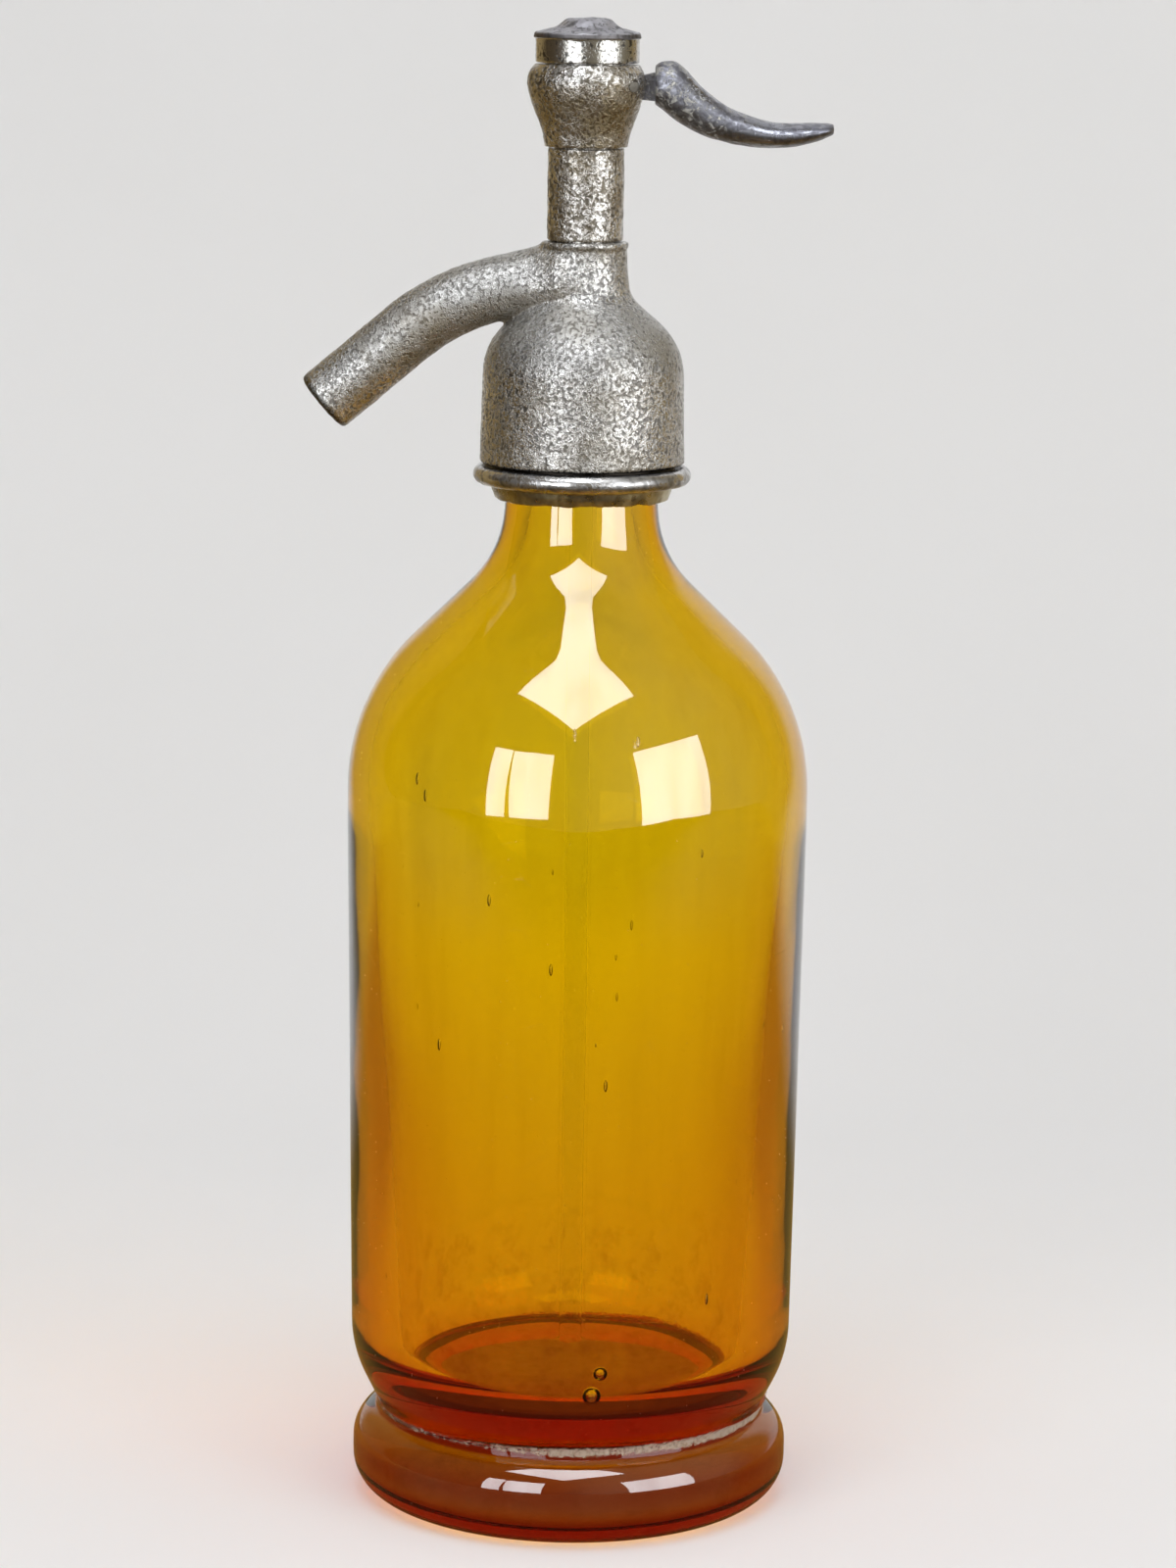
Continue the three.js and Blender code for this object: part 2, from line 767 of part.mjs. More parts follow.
function windowCutter() {
  const half = slotWidth / 2;
  const high = housing.windowLow + housing.windowHeight;
  const outline = new THREE.Shape(roundedOutline([
    [-half, housing.windowLow, housing.windowRound],
    [half, housing.windowLow, housing.windowRound],
    [half, high, housing.windowRound],
    [-half, high, housing.windowRound],
  ], true));
  return new THREE.ExtrudeGeometry(outline, { depth: bulbRadius + cutOver, bevelEnabled: false })
    .rotateX(Math.PI / 2)
    .rotateZ(Math.PI / 2);
}

function makeLeverHousing() {
  const shell = solid(revolve([
    [housingBore, 0],
    ...housingOutside(),
    [threadRadius, housing.height],
    [threadRadius, housing.height + housing.threadHeight],
    [housingBore, housing.height + housing.threadHeight],
  ], sides.column));
  const windowed = shell.subtract(solid(windowCutter()));
  const drilled = windowed.subtract(solid(pinBar(pinRadius + fitGap, bulbRadius + cutOver)));
  return piece('lever_housing', geometryOf(drilled), finishes.pittedPewter, housingBase);
}

function makeLeverPin() {
  const bulb = solid(revolve([[0, 0], ...housingOutside(), [0, housing.height]], sides.column));
  const filed = solid(pinBar(pinRadius, bulbRadius)).intersect(bulb);
  return piece('lever_pin', geometryOf(filed), finishes.steel, housingBase);
}

// Crosshead: a guide on the rod with an eye for the lever's nose and a spigot for the spring
function makeCrosshead() {
  const at = (level) => level - crossheadBase;
  const turned = solid(revolve([
    [0, 0],
    [crossheadRadius, 0],
    [crossheadRadius, at(crossheadTop)],
    [crosshead.spigotRadius, at(crossheadTop)],
    [crosshead.spigotRadius, at(crossheadTop) + crosshead.spigotHeight],
    [0, at(crossheadTop) + crosshead.spigotHeight],
  ], sides.column));
  const socket = disc(rodBore, crosshead.socketDepth + cutOver, sides.rod).translate(0, 0, -cutOver);
  const eye = box(
    new THREE.Vector3(lever.noseReach - lever.noseRadius - fitGap, -slotWidth / 2, at(eyeFloor)),
    new THREE.Vector3(crossheadRadius + cutOver, slotWidth / 2, at(eyeTop)),
  );
  const relief = box(
    new THREE.Vector3(crosshead.reliefReach, -slotWidth / 2, at(reliefFloor)),
    new THREE.Vector3(crossheadRadius + cutOver, slotWidth / 2, at(eyeTop)),
  );
  const cut = [socket, eye, relief].reduce((body, shape) => body.subtract(solid(shape)), turned);
  return piece('crosshead', geometryOf(cut), finishes.brass, crossheadBase);
}

// Spring: one unbroken helix between the crosshead and the roof of the cap
function springPoint(turn, length) {
  const angle = Math.PI * 2 * turn;
  const climb = spring.wire / 2 + (length - spring.wire) * turn / spring.turns;
  return new THREE.Vector3(spring.meanRadius * Math.cos(angle), spring.meanRadius * Math.sin(angle), climb);
}

function springGap(length) {
  const perTurn = spring.stepsPerTurn * 4;
  const steps = spring.turns * perTurn;
  let least = Infinity;
  for (let first = 0; first <= steps; first += 1) {
    for (let second = first + perTurn / 2; second <= steps; second += 1) {
      const here = springPoint(first / perTurn, length);
      least = Math.min(least, here.distanceTo(springPoint(second / perTurn, length)) - spring.wire);
    }
  }
  return least;
}

function makeSpring() {
  const length = springTop - springBase;
  const steps = spring.turns * spring.stepsPerTurn;
  const rings = [];
  for (let step = 0; step <= steps; step += 1) {
    const angle = Math.PI * 2 * step / spring.stepsPerTurn;
    const outward = new THREE.Vector3(Math.cos(angle), Math.sin(angle), 0);
    const heading = new THREE.Vector3(-Math.sin(angle), Math.cos(angle), 0);
    const centre = springPoint(step / spring.stepsPerTurn, length);
    rings.push(circleAcross(centre, heading, outward, spring.wire / 2, sides.wire));
  }
  console.log(`least gap between the spring's turns: ${springGap(length).toFixed(2)} mm`);
  return piece('return_spring', skin(rings), finishes.steel, springBase);
}

// Cap with its leather ring
function makeCapGasket() {
  const shape = ring(threadRadius - cap.gasketWidth, threadRadius, cap.gasketThickness, sides.column);
  return piece('cap_gasket', shape, finishes.leather, capGasketBase);
}

function makeTopCap() {
  const at = (level) => level - capBase;
  const rimTop = cap.skirt + cap.rimHeight;
  const shape = revolve([
    [0, at(capRoof) + cap.recessDepth],
    [cap.recessRadius, at(capRoof) + cap.recessDepth],
    [cap.recessRadius, at(capRoof)],
    [capBore, at(capRoof)],
    [capBore, 0],
    [capRadius, 0],
    [capRadius, cap.skirt],
    [capRadius + cap.rimReach, cap.skirt, cap.rimRound],
    [capRadius + cap.rimReach, rimTop, cap.rimRound],
    [cap.slopeRadius, cap.height - cap.slopeDrop, cap.slopeRadius],
    [cap.knobRadius, cap.height - cap.knobDrop, cap.knobRound],
    [0, cap.height],
  ], sides.column);
  return piece('top_cap', shape, finishes.brightPewter, capBase);
}

// Lever: a lofted handle with a flat-sided arm through the window to the round nose in the eye
function handleRing(share) {
  const edges = new THREE.CatmullRomCurve3(handleShares.map(([along, low, high]) => (
    new THREE.Vector3(along * lever.length, low * lever.depth, high * lever.depth)
  )));
  const widths = new THREE.SplineCurve(handleShares.map(([along, , , wide]) => (
    new THREE.Vector2(along, wide * lever.breadth)
  )));
  const edge = edges.getPoint(share);
  const half = widths.getPoint(share).y / 2;
  const power = 2 / lever.squareness;
  const reach = bulbRadius + lever.rootGap + edge.x;
  const rise = (edge.z - edge.y) / 2;
  const bent = (value) => Math.sign(value) * Math.abs(value) ** power;
  return Array.from({ length: sides.lever }, (unused, i) => {
    const angle = Math.PI * 2 * i / sides.lever;
    const height = (edge.y + edge.z) / 2 + rise * bent(Math.sin(angle));
    return new THREE.Vector3(reach, half * bent(Math.cos(angle)), height);
  });
}

function armGeometry() {
  const rootReach = bulbRadius + lever.rootGap + lever.overlap;
  const throat = housingBore;
  const noseTop = lever.noseRadius - lever.noseDrop;
  const noseFloor = -lever.noseRadius - lever.noseDrop;
  const outline = new THREE.Shape();
  outline.moveTo(lever.noseReach, noseFloor);
  outline.lineTo(throat, noseFloor);
  outline.lineTo(rootReach, noseFloor - lever.rootDrop);
  outline.lineTo(rootReach, noseTop + lever.rootRise);
  outline.lineTo(throat, noseTop);
  outline.lineTo(lever.noseReach, noseTop);
  outline.absarc(lever.noseReach, -lever.noseDrop, lever.noseRadius, Math.PI / 2, Math.PI * 3 / 2, false);
  return new THREE.ExtrudeGeometry(outline, { depth: lever.armWidth, bevelEnabled: false, curveSegments: sides.wire })
    .rotateX(Math.PI / 2)
    .translate(0, lever.armWidth / 2, 0);
}

function makeLever() {
  const rings = [];
  for (let step = 0; step <= lever.steps; step += 1) {
    rings.push(handleRing(step / lever.steps));
  }
  const hole = pinBar(pinRadius + fitGap, bulbRadius).translate(0, 0, -housing.pivotHeight);
  const body = solid(skin(rings)).add(solid(armGeometry())).subtract(solid(hole));
  return piece('lever', geometryOf(body), finishes.darkPewter, pivotLevel);
}

// Assembly, grouped as it comes apart on a bench
function group(name, ...members) {
  const assembly = new THREE.Group();
  assembly.name = name;
  assembly.add(...members);
  return assembly;
}

export default group(
  'soda_siphon',
  group('bottle_set', makeBottle(), makeLipGasket()),
  group('tube_set', makeDipTube(), makeTubeSeal(), makeFerrule()),
  group('clamp_set', makeClampHalf('clamp_half_left', -1), makeClampHalf('clamp_half_right', 1), makeCollar()),
  group('head_set', makeHeadBody(), makeValveSeat(), makeColumn(), makeLeverHousing(), makeLeverPin()),
  group('gland_set', makeGlandNut(), makeRodPacking(), makePackingWasher()),
  group('piston_set', makePistonRod(), makeValveHolder(), makeValveDisc(), makeValveScrew(), makeCrosshead()),
  group('cap_set', makeTopCap(), makeCapGasket(), makeSpring()),
  makeLever(),
);
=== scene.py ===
"""Looks of a soda siphon: an amber glass bottle under a pitted pewter head.

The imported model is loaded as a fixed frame. Sizes in the classes are millimetres, and ``mm``
turns them into Blender's metres. +Z is up, the spout points toward -X and the lever toward +X.
"""

import logging
import math
import random
from dataclasses import dataclass
from enum import Enum
from typing import Callable, NamedTuple

import bpy
from mathutils import Matrix, Vector


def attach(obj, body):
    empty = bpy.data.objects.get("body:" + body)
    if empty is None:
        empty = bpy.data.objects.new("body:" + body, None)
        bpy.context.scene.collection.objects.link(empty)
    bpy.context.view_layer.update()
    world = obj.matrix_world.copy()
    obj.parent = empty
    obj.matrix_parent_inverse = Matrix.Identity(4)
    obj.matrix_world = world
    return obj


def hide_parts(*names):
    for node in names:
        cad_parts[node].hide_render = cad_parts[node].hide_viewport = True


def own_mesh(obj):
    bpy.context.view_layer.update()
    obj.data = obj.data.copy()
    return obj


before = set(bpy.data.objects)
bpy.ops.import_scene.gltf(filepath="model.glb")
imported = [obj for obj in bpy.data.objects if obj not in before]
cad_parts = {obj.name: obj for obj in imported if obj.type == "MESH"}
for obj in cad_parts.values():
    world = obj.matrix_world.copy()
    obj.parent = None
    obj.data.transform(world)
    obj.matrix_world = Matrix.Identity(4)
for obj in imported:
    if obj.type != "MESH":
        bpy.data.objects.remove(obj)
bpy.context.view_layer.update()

log = logging.getLogger("siphon")

MILLIMETRE = 0.001
ARC_SAG = 0.012
SAME_PLACE = 1e-6
LEAST_ROUND = 1e-3
TURN_STEPS = 144
CUT_OVER = 2.0
WHITE = (1, 1, 1, 1)

Colour = tuple[float, float, float]


class Corner(NamedTuple):
    """A corner of a turned outline in millimetres, with the round that softens it."""

    radius: float
    level: float
    round: float = 0.0


class Body(Enum):
    """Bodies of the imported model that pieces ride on."""

    ROOT = "root"
    LEVER = "lever"


class Shape(Enum):
    """Ways in which one solid is fused with another or cut by it."""

    FUSE = "UNION"
    CUT = "DIFFERENCE"


def mm(*values: float) -> Vector | float:
    """Turns millimetres into metres.

    Args:
        values: One length, or the two or three lengths of a place.

    Returns:
        One number for one length, and a Vector for more.
    """
    if len(values) == 1:
        return values[0] * MILLIMETRE
    return Vector(values) * MILLIMETRE


def from_axis(place: Vector) -> float:
    """Gives a place's distance from the siphon's axis."""
    return math.hypot(place.x, place.y)


# Outlines


def arc_at(corner: Vector, before: Vector, turn: float, radius: float) -> list[Vector]:
    """Replaces a corner with a true arc.

    Args:
        corner: The sharp corner.
        before: The edge that arrives at it.
        turn: How far the outline turns there, in radians.
        radius: The arc's radius.

    Returns:
        The arc's points, from its start to its end.
    """
    along = before.normalized()
    side = math.copysign(1.0, turn)
    start = corner - along * radius * abs(math.tan(turn / 2))
    centre = start + Vector((-along.y, along.x)) * side * radius
    longest = 2 * math.acos(max(0.0, 1 - ARC_SAG / radius))
    steps = max(2, math.ceil(abs(turn) / longest))
    spoke = start - centre
    return [centre + Matrix.Rotation(turn * step / steps, 2) @ spoke for step in range(steps + 1)]


def rounded(corners: list[Corner], closed: bool) -> list[Vector]:
    """Rounds the corners of an outline, each as far as its two edges allow.

    Args:
        corners: The outline's corners.
        closed: Whether the last corner joins the first.

    Returns:
        The outline's points in millimetres.
    """
    count = len(corners)
    places = [Vector((corner.radius, corner.level)) for corner in corners]
    edges = [places[(i + 1) % count] - places[i] for i in range(count)]
    turns, reaches = [], []
    for i, corner in enumerate(corners):
        before, after = edges[i - 1], edges[i]
        turn = math.atan2(before.x * after.y - before.y * after.x, before.dot(after))
        at_end = not closed and i in (0, count - 1)
        turns.append(turn)
        reaches.append(0.0 if at_end else corner.round * abs(math.tan(turn / 2)))

    def room(i: int) -> float:
        """Share of the rounds at both ends of an edge for which it has room."""
        return edges[i].length / max(reaches[i] + reaches[(i + 1) % count], SAME_PLACE)

    outline = []
    for i, corner in enumerate(corners):
        limit = min(1.0, room(i), room(i - 1))
        if reaches[i] * limit < LEAST_ROUND:
            outline.append(places[i])
        else:
            outline += arc_at(places[i], edges[i - 1], turns[i], corner.round * limit)
    return outline


def finer(outline: list[Vector], longest: float) -> list[Vector]:
    """Splits the long edges of an outline, so that a turned piece can be displaced.

    Args:
        outline: Points in millimetres.
        longest: The longest edge that stays whole.

    Returns:
        The outline with points added along its long edges.
    """
    points = [outline[0]]
    for here, there in zip(outline, outline[1:]):
        parts = max(1, math.ceil((there - here).length / longest))
        points += [here.lerp(there, part / parts) for part in range(1, parts + 1)]
    return points


def smooth_row(values: list[float], share: float) -> float:
    """Reads a row of numbers at any share of its length, on a curve through them.

    Args:
        values: Numbers at equal steps.
        share: Where to read, from 0 to 1.

    Returns:
        The number there.
    """
    place = share * (len(values) - 1)
    i = min(int(place), len(values) - 2)
    t = place - i
    before = values[max(i - 1, 0)]
    a, b = values[i], values[i + 1]
    after = values[min(i + 2, len(values) - 1)]
    rise = (b - before, 2 * before - 5 * a + 4 * b - after, 3 * (a - b) + after - before)
    return a + t * (rise[0] + t * (rise[1] + t * rise[2])) / 2


def smoothstep(low: float, high: float, value: float) -> float:
    """Eases from 0 at one value to 1 at another."""
    share = min(1.0, max(0.0, (value - low) / (high - low)))
    return share * share * (3 - 2 * share)


# Modelling steps


def fresh() -> None:
    """Deselects everything, so that the next operator meets only the new piece."""
    if bpy.context.object and bpy.context.object.mode != "OBJECT":
        bpy.ops.object.mode_set(mode="OBJECT")
    bpy.ops.object.select_all(action="DESELECT")


def only(piece: bpy.types.Object) -> None:
    """Selects one piece alone and makes it active.

    Args:
        piece: The piece.
    """
    fresh()
    piece.select_set(True)
    bpy.context.view_layer.objects.active = piece


def edit(piece: bpy.types.Object) -> None:
    """Opens a piece in edit mode with all of it selected.

    Args:
        piece: The piece.
    """
    only(piece)
    bpy.ops.object.mode_set(mode="EDIT")
    bpy.ops.mesh.select_all(action="SELECT")


def close_edit() -> None:
    """Leaves edit mode."""
    bpy.ops.object.mode_set(mode="OBJECT")


def settle(piece: bpy.types.Object, name: str) -> bpy.types.Object:
    """Names a new piece and puts its place into its mesh.

    Args:
        piece: The piece, wherever its primitive was added.
        name: The name that it keeps.

    Returns:
        The same piece.
    """
    only(piece)
    bpy.ops.object.transform_apply(location=True, rotation=True, scale=True)
    piece.name = piece.data.name = name
    return piece


def close_skin(piece: bpy.types.Object, name: str) -> bpy.types.Object:
    """Turns the faces of a piece in edit mode outward, and settles it.

    Args:
        piece: The piece.
        name: The name that it keeps.

    Returns:
        The same piece.
    """
    bpy.ops.mesh.normals_make_consistent(inside=False)
    close_edit()
    return settle(piece, name)


def plane_point() -> bpy.types.Object:
    """Adds a plane one millimetre wide at the origin and opens it in edit mode.

    Returns:
        The plane.
    """
    fresh()
    bpy.ops.mesh.primitive_plane_add(size=MILLIMETRE, location=(0, 0, 0))
    edit(bpy.context.object)
    return bpy.context.object


def trace(outline: list[Vector], depth: float = 0.0) -> bpy.types.Object:
    """Draws a closed outline in the XZ plane as a chain of edges, and stays in edit mode.

    Args:
        outline: Its points in millimetres, the last one on the first.
        depth: The plane's Y.

    Returns:
        The piece, with all of it selected.
    """
    piece = plane_point()
    bpy.ops.mesh.merge(type="CENTER")
    bpy.ops.transform.translate(value=mm(outline[0].x, depth, outline[0].y))
    for here, there in zip(outline, outline[1:]):
        move = there - here
        bpy.ops.mesh.extrude_vertices_move(TRANSFORM_OT_translate={"value": mm(move.x, 0, move.y)})
    bpy.ops.mesh.select_all(action="SELECT")
    return piece


def turn(name: str, corners: list[tuple], longest: float = 6.0, steps: int = TURN_STEPS) -> bpy.types.Object:
    """Turns an outline about Z, as on a lathe.

    Corners that start on the axis end on it, and others close up.

    Args:
        name: The piece's name.
        corners: Each corner's radius, level and round in millimetres, counter-clockwise.
        longest: The longest edge along the outline, in millimetres.
        steps: Faces around the axis.

    Returns:
        The turned piece.
    """
    corners = [Corner(*corner) for corner in corners]
    closed = corners[0].radius > 0
    outline = rounded(corners, closed)
    if closed:
        outline.append(outline[0].copy())
    piece = trace(finer(outline, longest))
    bpy.ops.mesh.spin(steps=steps, angle=math.tau, center=(0, 0, 0), axis=(0, 0, 1))
    bpy.ops.mesh.select_all(action="SELECT")
    bpy.ops.mesh.remove_doubles(threshold=SAME_PLACE)
    return close_skin(piece, name)


class Station(NamedTuple):
    """One ring of a swept piece: its centre in millimetres, its lean about Y and its half sizes."""

    centre: Vector
    lean: float
    half_width: float
    half_height: float


def sweep(name: str, stations: list[Station], sides: int = 48) -> bpy.types.Object:
    """Extrudes a ring from station to station and closes both ends.

    Args:
        name: The piece's name.
        stations: The rings, in order.
        sides: Vertices in each ring.

    Returns:
        The swept piece.
    """
    first = stations[0]
    centre = first.centre * MILLIMETRE
    fresh()
    bpy.ops.mesh.primitive_circle_add(
        vertices=sides, radius=MILLIMETRE, location=centre, rotation=(0, math.pi / 2, 0)
    )
    piece = bpy.context.object
    edit(piece)
    bpy.ops.transform.resize(value=(1, first.half_width, first.half_height), center_override=centre)
    for here, there in zip(stations, stations[1:]):
        centre = there.centre * MILLIMETRE
        move = (there.centre - here.centre) * MILLIMETRE
        bpy.ops.mesh.extrude_region_move(TRANSFORM_OT_translate={"value": move})
        swell = Vector((1, there.half_width / here.half_width, there.half_height / here.half_height))
        if there.lean or here.lean:
            swell = Vector((swell.y, swell.y, swell.y))
            turned = there.lean - here.lean
            bpy.ops.transform.rotate(value=turned, orient_axis="Y", center_override=centre)
        bpy.ops.transform.resize(value=swell, center_override=centre)
    bpy.ops.mesh.select_all(action="SELECT")
    bpy.ops.mesh.fill_holes(sides=0)
    return close_skin(piece, name)


def modify(piece: bpy.types.Object, kind: str, **settings: object) -> None:
    """Adds one modifier and applies it.

    Args:
        piece: The piece.
        kind: The modifier's type.
        settings: Its values.
    """
    only(piece)
    modifier = piece.modifiers.new(kind.title(), kind)
    for key, value in settings.items():
        setattr(modifier, key, value)
    bpy.ops.object.modifier_apply(modifier=modifier.name)


def combine(piece: bpy.types.Object, other: bpy.types.Object, shape: Shape) -> None:
    """Fuses another solid into a piece or cuts it away, and removes the other.

    Args:
        piece: The piece that stays.
        other: The solid that is used up.
        shape: Whether it is fused or cut.
    """
    modify(piece, "BOOLEAN", object=other, operation=shape.value, solver="EXACT")
    bpy.data.objects.remove(other)


def weigh(piece: bpy.types.Object, name: str, rule: Callable[[Vector], float]) -> str:
    """Gives a piece a vertex group from a rule on places in millimetres.

    Args:
        piece: The piece.
        name: The group's name.
        rule: Takes a place and gives a weight from 0 to 1.

    Returns:
        The group's name.
    """
    group = piece.vertex_groups.new(name=name)
    for vertex in piece.data.vertices:
        weight = min(1.0, max(0.0, rule(vertex.co / MILLIMETRE)))
        if weight > 0:
            group.add([vertex.index], weight, "REPLACE")
    return name


def roughen(
    piece: bpy.types.Object, grain: float, height: float, group: str = "", direction: str = "NORMAL"
) -> None:
    """Displaces a piece with lumps, half of them outward.

    Args:
        piece: The piece.
        grain: Size of the lumps in millimetres.
        height: Their full height in millimetres.
        group: Vertex group that limits them.
        direction: The modifier's direction.
    """
    name = f"lumps_{grain:g}"
    lumps = bpy.data.textures.get(name) or bpy.data.textures.new(name, "CLOUDS")
    lumps.noise_scale = mm(grain)
    lumps.noise_depth = 2
    modify(
        piece, "DISPLACE", texture=lumps, strength=mm(height), mid_level=0.5, texture_coords="LOCAL",
        vertex_group=group, direction=direction,
    )


def dress(piece: bpy.types.Object, finish: bpy.types.Material, sharpest: float) -> None:
    """Gives a new piece one finish, and shades it smooth.

    Args:
        piece: The piece.
        finish: Its material.
        sharpest: Edges sharper than this angle in degrees stay sharp.
    """
    only(piece)
    bpy.ops.object.shade_smooth_by_angle(angle=math.radians(sharpest))
    piece.data.materials.clear()
    piece.data.materials.append(finish)
    log.info("%s: %d faces", piece.name, len(piece.data.polygons))


def stand(
    piece: bpy.types.Object, finish: bpy.types.Material, slot: str, *nodes: str,
    sharpest: float = 50.0, body: Body = Body.ROOT,
) -> None:
    """Finishes a new piece and puts it into the frame.

    Args:
        piece: The piece.
        finish: Its material.
        slot: Name of a material slot; not used.
        nodes: CAD nodes that it stands for.
        sharpest: Edges sharper than this angle in degrees stay sharp.
        body: The body that it rides on.
    """
    dress(piece, finish, sharpest)
    if nodes:
        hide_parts(*nodes)
    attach(piece, body.value)


def redress(finish: bpy.types.Material, *nodes: str) -> None:
    """Gives CAD nodes that stay as they are a better finish, by their material slots.

    Args:
        finish: Their new material.
        nodes: The nodes' names.
    """
    for name in nodes:
        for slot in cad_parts[name].material_slots:
            slot.material = finish
        log.info("%s: %s", name, finish.name)


# Shader building


def linear(value: float) -> float:
    """Turns one channel of an sRGB colour, 0 to 255, into the linear one that shaders take."""
    share = value / 255
    return share / 12.92 if share <= 0.04045 else ((share + 0.055) / 1.055) ** 2.4


@dataclass(frozen=True, eq=False)
class Signal:
    """A shader socket that sums can be written with, such as ``broad * 0.5 + fine``."""

    graph: "Graph"
    socket: bpy.types.NodeSocket

    def __add__(self, other: object) -> "Signal":
        """Adds a value or signal."""
        return self.graph.math("ADD", self, other)

    def __sub__(self, other: object) -> "Signal":
        """Takes a value or signal away."""
        return self.graph.math("SUBTRACT", self, other)

    def __rsub__(self, other: object) -> "Signal":
        """Takes the signal away from a value."""
        return self.graph.math("SUBTRACT", other, self)

    def __mul__(self, other: object) -> "Signal":
        """Multiplies by a value or signal."""
        return self.graph.math("MULTIPLY", self, other)

    def __rtruediv__(self, other: object) -> "Signal":
        """Divides a value by the signal."""
        return self.graph.math("DIVIDE", other, self)

    def __abs__(self) -> "Signal":
        """Drops the sign."""
        return self.graph.math("ABSOLUTE", self)

    def or_more(self, other: "Signal") -> "Signal":
        """Gives the greater of two signals."""
        return self.graph.math("MAXIMUM", self, other)

    def ramp(self, low: float, high: float, start: object = 0.0, end: object = 1.0) -> "Signal":
        """Eases the signal from one range to another.

        Args:
            low: Where the ramp starts, which may be above its end.
            high: Where it ends.
            start: What it gives at its start.
            end: What it gives at its end.

        Returns:
            The eased signal.
        """
        inputs = {"Value": self, "From Min": low, "From Max": high, "To Min": start, "To Max": end}
        return self.graph.outputs("MapRange", inputs, interpolation_type="SMOOTHSTEP")["Result"]

    def fade(self, low: float, high: float, start: object = 0.0, end: object = 1.0) -> "Signal":
        """Does the same over a range of millimetres."""
        return self.ramp(mm(low), mm(high), start, end)


class Graph:
    """Adds shader nodes to a tree and wires them."""

    def __init__(self, tree: bpy.types.NodeTree) -> None:
        """Keeps the tree of a material, world, lamp or group."""
        self.tree = tree

    def node(self, kind: str, inputs: dict | None = None, **settings: object) -> bpy.types.Node:
        """Adds a node.

        Args:
            kind: Its type without the ShaderNode prefix.
            inputs: Values or signals for its inputs, by name or number.
            settings: Its own properties.

        Returns:
            The node.
        """
        node = self.tree.nodes.new(f"ShaderNode{kind}")
        for key, value in settings.items():
            setattr(node, key, value)
        for key, value in (inputs or {}).items():
            self.feed(node.inputs[key], value)
        return node

    def signals(self, sockets: bpy.types.NodeOutputs) -> dict[str, Signal]:
        """Gives a node's outputs as signals, by name."""
        return {socket.name: Signal(self, socket) for socket in sockets}

    def outputs(self, kind: str, inputs: dict | None = None, **settings: object) -> dict[str, Signal]:
        """Adds a node, as ``node`` does, and gives its outputs by name."""
        return self.signals(self.node(kind, inputs, **settings).outputs)

    def feed(self, socket: bpy.types.NodeSocket, value: object) -> None:
        """Links a signal to an input, or sets a value on it.

        Args:
            socket: The input.
            value: A signal, a value, or three numbers of 0 to 255 for an sRGB colour.
        """
        if isinstance(value, Signal):
            self.tree.links.new(value.socket, socket)
        elif socket.type == "RGBA" and len(value) == 3:
            socket.default_value = (*map(linear, value), 1.0)
        else:
            socket.default_value = value

    def math(self, operation: str, a: object, b: object = 0.0, clamp: bool = False) -> Signal:
        """Does one sum on two values or signals and gives the result."""
        return self.outputs("Math", {0: a, 1: b}, operation=operation, use_clamp=clamp)["Value"]

    def vector(self, operation: str, a: object, b: object = None) -> Signal:
        """Does one sum on vectors.

        Args:
            operation: The sum.
            a: The first vector.
            b: The second one, or the factor of a scale.

        Returns:
            The result, a number for a length or a dot product.
        """
        inputs = {0: a} if b is None else {0: a, "Scale" if operation == "SCALE" else 1: b}
        result = "Value" if operation in ("LENGTH", "DOT_PRODUCT") else "Vector"
        return self.outputs("VectorMath", inputs, operation=operation)[result]

    def split(self, vector: Signal) -> tuple[Signal, ...]:
        """Gives a vector's X, Y and Z."""
        return tuple(self.outputs("SeparateXYZ", {0: vector}).values())

    def mix(self, share: object, a: object, b: object) -> Signal:
        """Mixes two colours.

        Args:
            share: How much of the second.
            a: The first colour.
            b: The second colour.

        Returns:
            The mixed colour.
        """
        node = self.node("Mix", data_type="RGBA")
        for key, value in ("Factor", share), (6, a), (7, b):
            self.feed(node.inputs[key], value)
        return Signal(self, node.outputs[2])

    def blend(self, share: Signal, a: Signal, b: Signal) -> Signal:
        """Mixes two shaders and gives the result."""
        return self.outputs("MixShader", {0: share, 1: a, 2: b})["Shader"]

    def noise(
        self, place: Signal, scale: object, detail: float = 2.0, output: str = "Fac", **more: float
    ) -> Signal:
        """Adds a noise texture.

        Args:
            place: The coordinates.
            scale: Lumps per metre.
            detail: Layers of finer noise.
            output: The output that is wanted.
            more: Further inputs, such as Distortion.

        Returns:
            That output.
        """
        inputs = {"Vector": place, "Scale": scale, "Detail": detail}
        inputs.update({key.title(): value for key, value in more.items()})
        return self.outputs("TexNoise", inputs)[output]


